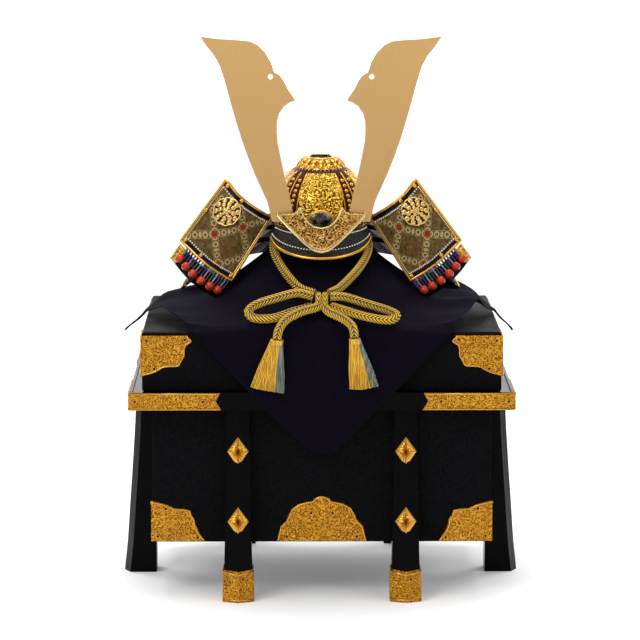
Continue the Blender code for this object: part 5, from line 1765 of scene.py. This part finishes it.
            # Strands spread evenly over the oval by the golden angle
            turn = k * 2.399963
            reach = math.sqrt((k + 0.5) / self.strands)
            wide, deep = reach * math.cos(turn), reach * math.sin(turn)
            points, faces = groups["grey" if wide > grey_from and k % 4 else "gold"]
            shorter = 1 - 0.05 * abs(noise.noise(Vector((k * 0.7, 0.3, 0.1))))
            first = len(points)
            for row in range(7):
                share = row / 6 * shorter
                across = half_width * (0.30 + 0.66 * share**0.9) * wide
                wave = 0.0003 * math.sin(share * 9 + k)
                back = self.tassel_depth * (0.9 + 0.1 * share) * deep
                lift = across * drift / self.tassel_length
                centre = top.lerp(end, share) + Vector((across + wave, back, lift))
                centre.z = max(centre.z, floor)
                for angle in circle(4):
                    points.append(centre + self.strand * Vector((math.cos(angle), math.sin(angle), 0)))
            faces += [tuple(first + i for i in face) for face in grid_faces(6, 4, closed=True)]
            faces += [tuple(range(first, first + 4)), tuple(range(first + 24, first + 28))]
        made = []
        for kind, material in (("gold", finishes.tassel), ("grey", finishes.tassel_grey)):
            piece = outward(mesh_piece(f"{name}_{kind}_strands", *groups[kind]))
            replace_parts(finish_piece(piece, material), name)
            made.append(piece)
        binding = []
        for k in range(5 * 24):
            turn = FULL_TURN * k / 24
            ring = Vector((half_width * 0.34 * math.cos(turn), 0.0040 * math.sin(turn), 0))
            binding.append(top.lerp(end, 0.012 + 0.018 * k / 24) + ring)
        return [*made, bar(f"{name}_binding", 0.0006, binding, finishes.tassel, Slot.SILK, UP)]

    def build(self, finishes: Finishes) -> None:
        """Builds every cord."""
        knot = self.wrap(finishes)
        self.line("chin_cord", self.chin, "object", [])
        self.line("bow_loop_left", self.left_loop, "object", [knot])
        self.line("bow_loop_right", self.right_loop, "object", [])
        left = self.tassel("tassel_left", self.left_tail, *self.tassel_sizes[0], finishes)
        right = self.tassel("tassel_right", self.right_tail, *self.tassel_sizes[1], finishes)
        self.line("cord_tail_left", self.left_tail, "fitting", left)
        self.line("cord_tail_right", self.right_tail, "fitting", right)


# ---- Studio


@dataclass
class Studio:
    """Floor, wall, lights and the camera at the photograph's angle."""

    camera_at: Point = (-0.0284, -3.4713, 0.7276)
    pitch: float = math.radians(7.885)
    yaw: float = math.radians(0.458)
    lens: float = 202.5
    sensor: float = 36.0
    backdrop_size: float = 14.0
    wall_at: float = 6.0
    world_strength: float = 0.5
    # Columns: name, place, aim, size in metres, power in watts
    lights: tuple = (
        ("key", (-1.2, -1.8, 2.0), (0.0, 0.0, 0.25), 1.3, 26.0),
        ("fill", (1.6, -1.6, 1.1), (0.0, 0.0, 0.25), 1.4, 7.0),
        ("top", (0.0, 0.2, 2.2), (0.0, 0.0, 0.2), 1.6, 30.0),
        ("back_left", (-1.4, 1.2, 1.0), (0.0, 0.0, 0.25), 0.9, 10.0),
        ("back_right", (1.4, 1.2, 1.0), (0.0, 0.0, 0.25), 0.9, 10.0),
    )

    def build(self, finishes: Finishes) -> None:
        """Builds the studio."""
        for name, depth, turn, material in (
            ("studio_floor", 0.0, 0.0, finishes.floor),
            ("studio_wall", self.wall_at, math.pi / 2, finishes.wall),
        ):
            start()
            bpy.ops.mesh.primitive_plane_add(
                size=self.backdrop_size, location=(0, depth, 0), rotation=(turn, 0, 0)
            )
            plane = bpy.context.object
            plane.name = name
            plane.data.materials.append(material)
        scene = bpy.context.scene
        scene.world = bpy.data.worlds.new("studio")
        scene.world.use_nodes = True
        shade = scene.world.node_tree.nodes["Background"]
        shade.inputs["Color"].default_value = (1.0, 1.0, 1.0, 1.0)
        shade.inputs["Strength"].default_value = self.world_strength
        for name, place, aim, size, power in self.lights:
            data = bpy.data.lights.new(name, "AREA")
            data.size = size
            data.energy = power
            lamp = bpy.data.objects.new(name, data)
            lamp.location = place
            lamp.rotation_mode = "QUATERNION"
            lamp.rotation_quaternion = (Vector(aim) - Vector(place)).to_track_quat("-Z", "Y")
            scene.collection.objects.link(lamp)
        data = bpy.data.cameras.new("camera")
        data.lens = self.lens
        data.sensor_width = self.sensor
        camera = bpy.data.objects.new("camera", data)
        camera.location = self.camera_at
        camera.rotation_euler = (math.pi / 2 - self.pitch, 0.0, -self.yaw)
        scene.collection.objects.link(camera)
        scene.camera = camera
        scene.view_settings.view_transform = "Standard"


def main() -> None:
    """Builds the dressed model in order."""
    finishes = Finishes()
    for part in (Chest(), Bowl(), Crest(), NeckGuard(), Drape(), CordSet(), Studio()):
        part.build(finishes)
        LOG.info("built %s", type(part).__name__)
    paint(finishes.wood, "stand_post")
    start()


if __name__ == "__main__":
    logging.basicConfig(level=logging.INFO)
    main()
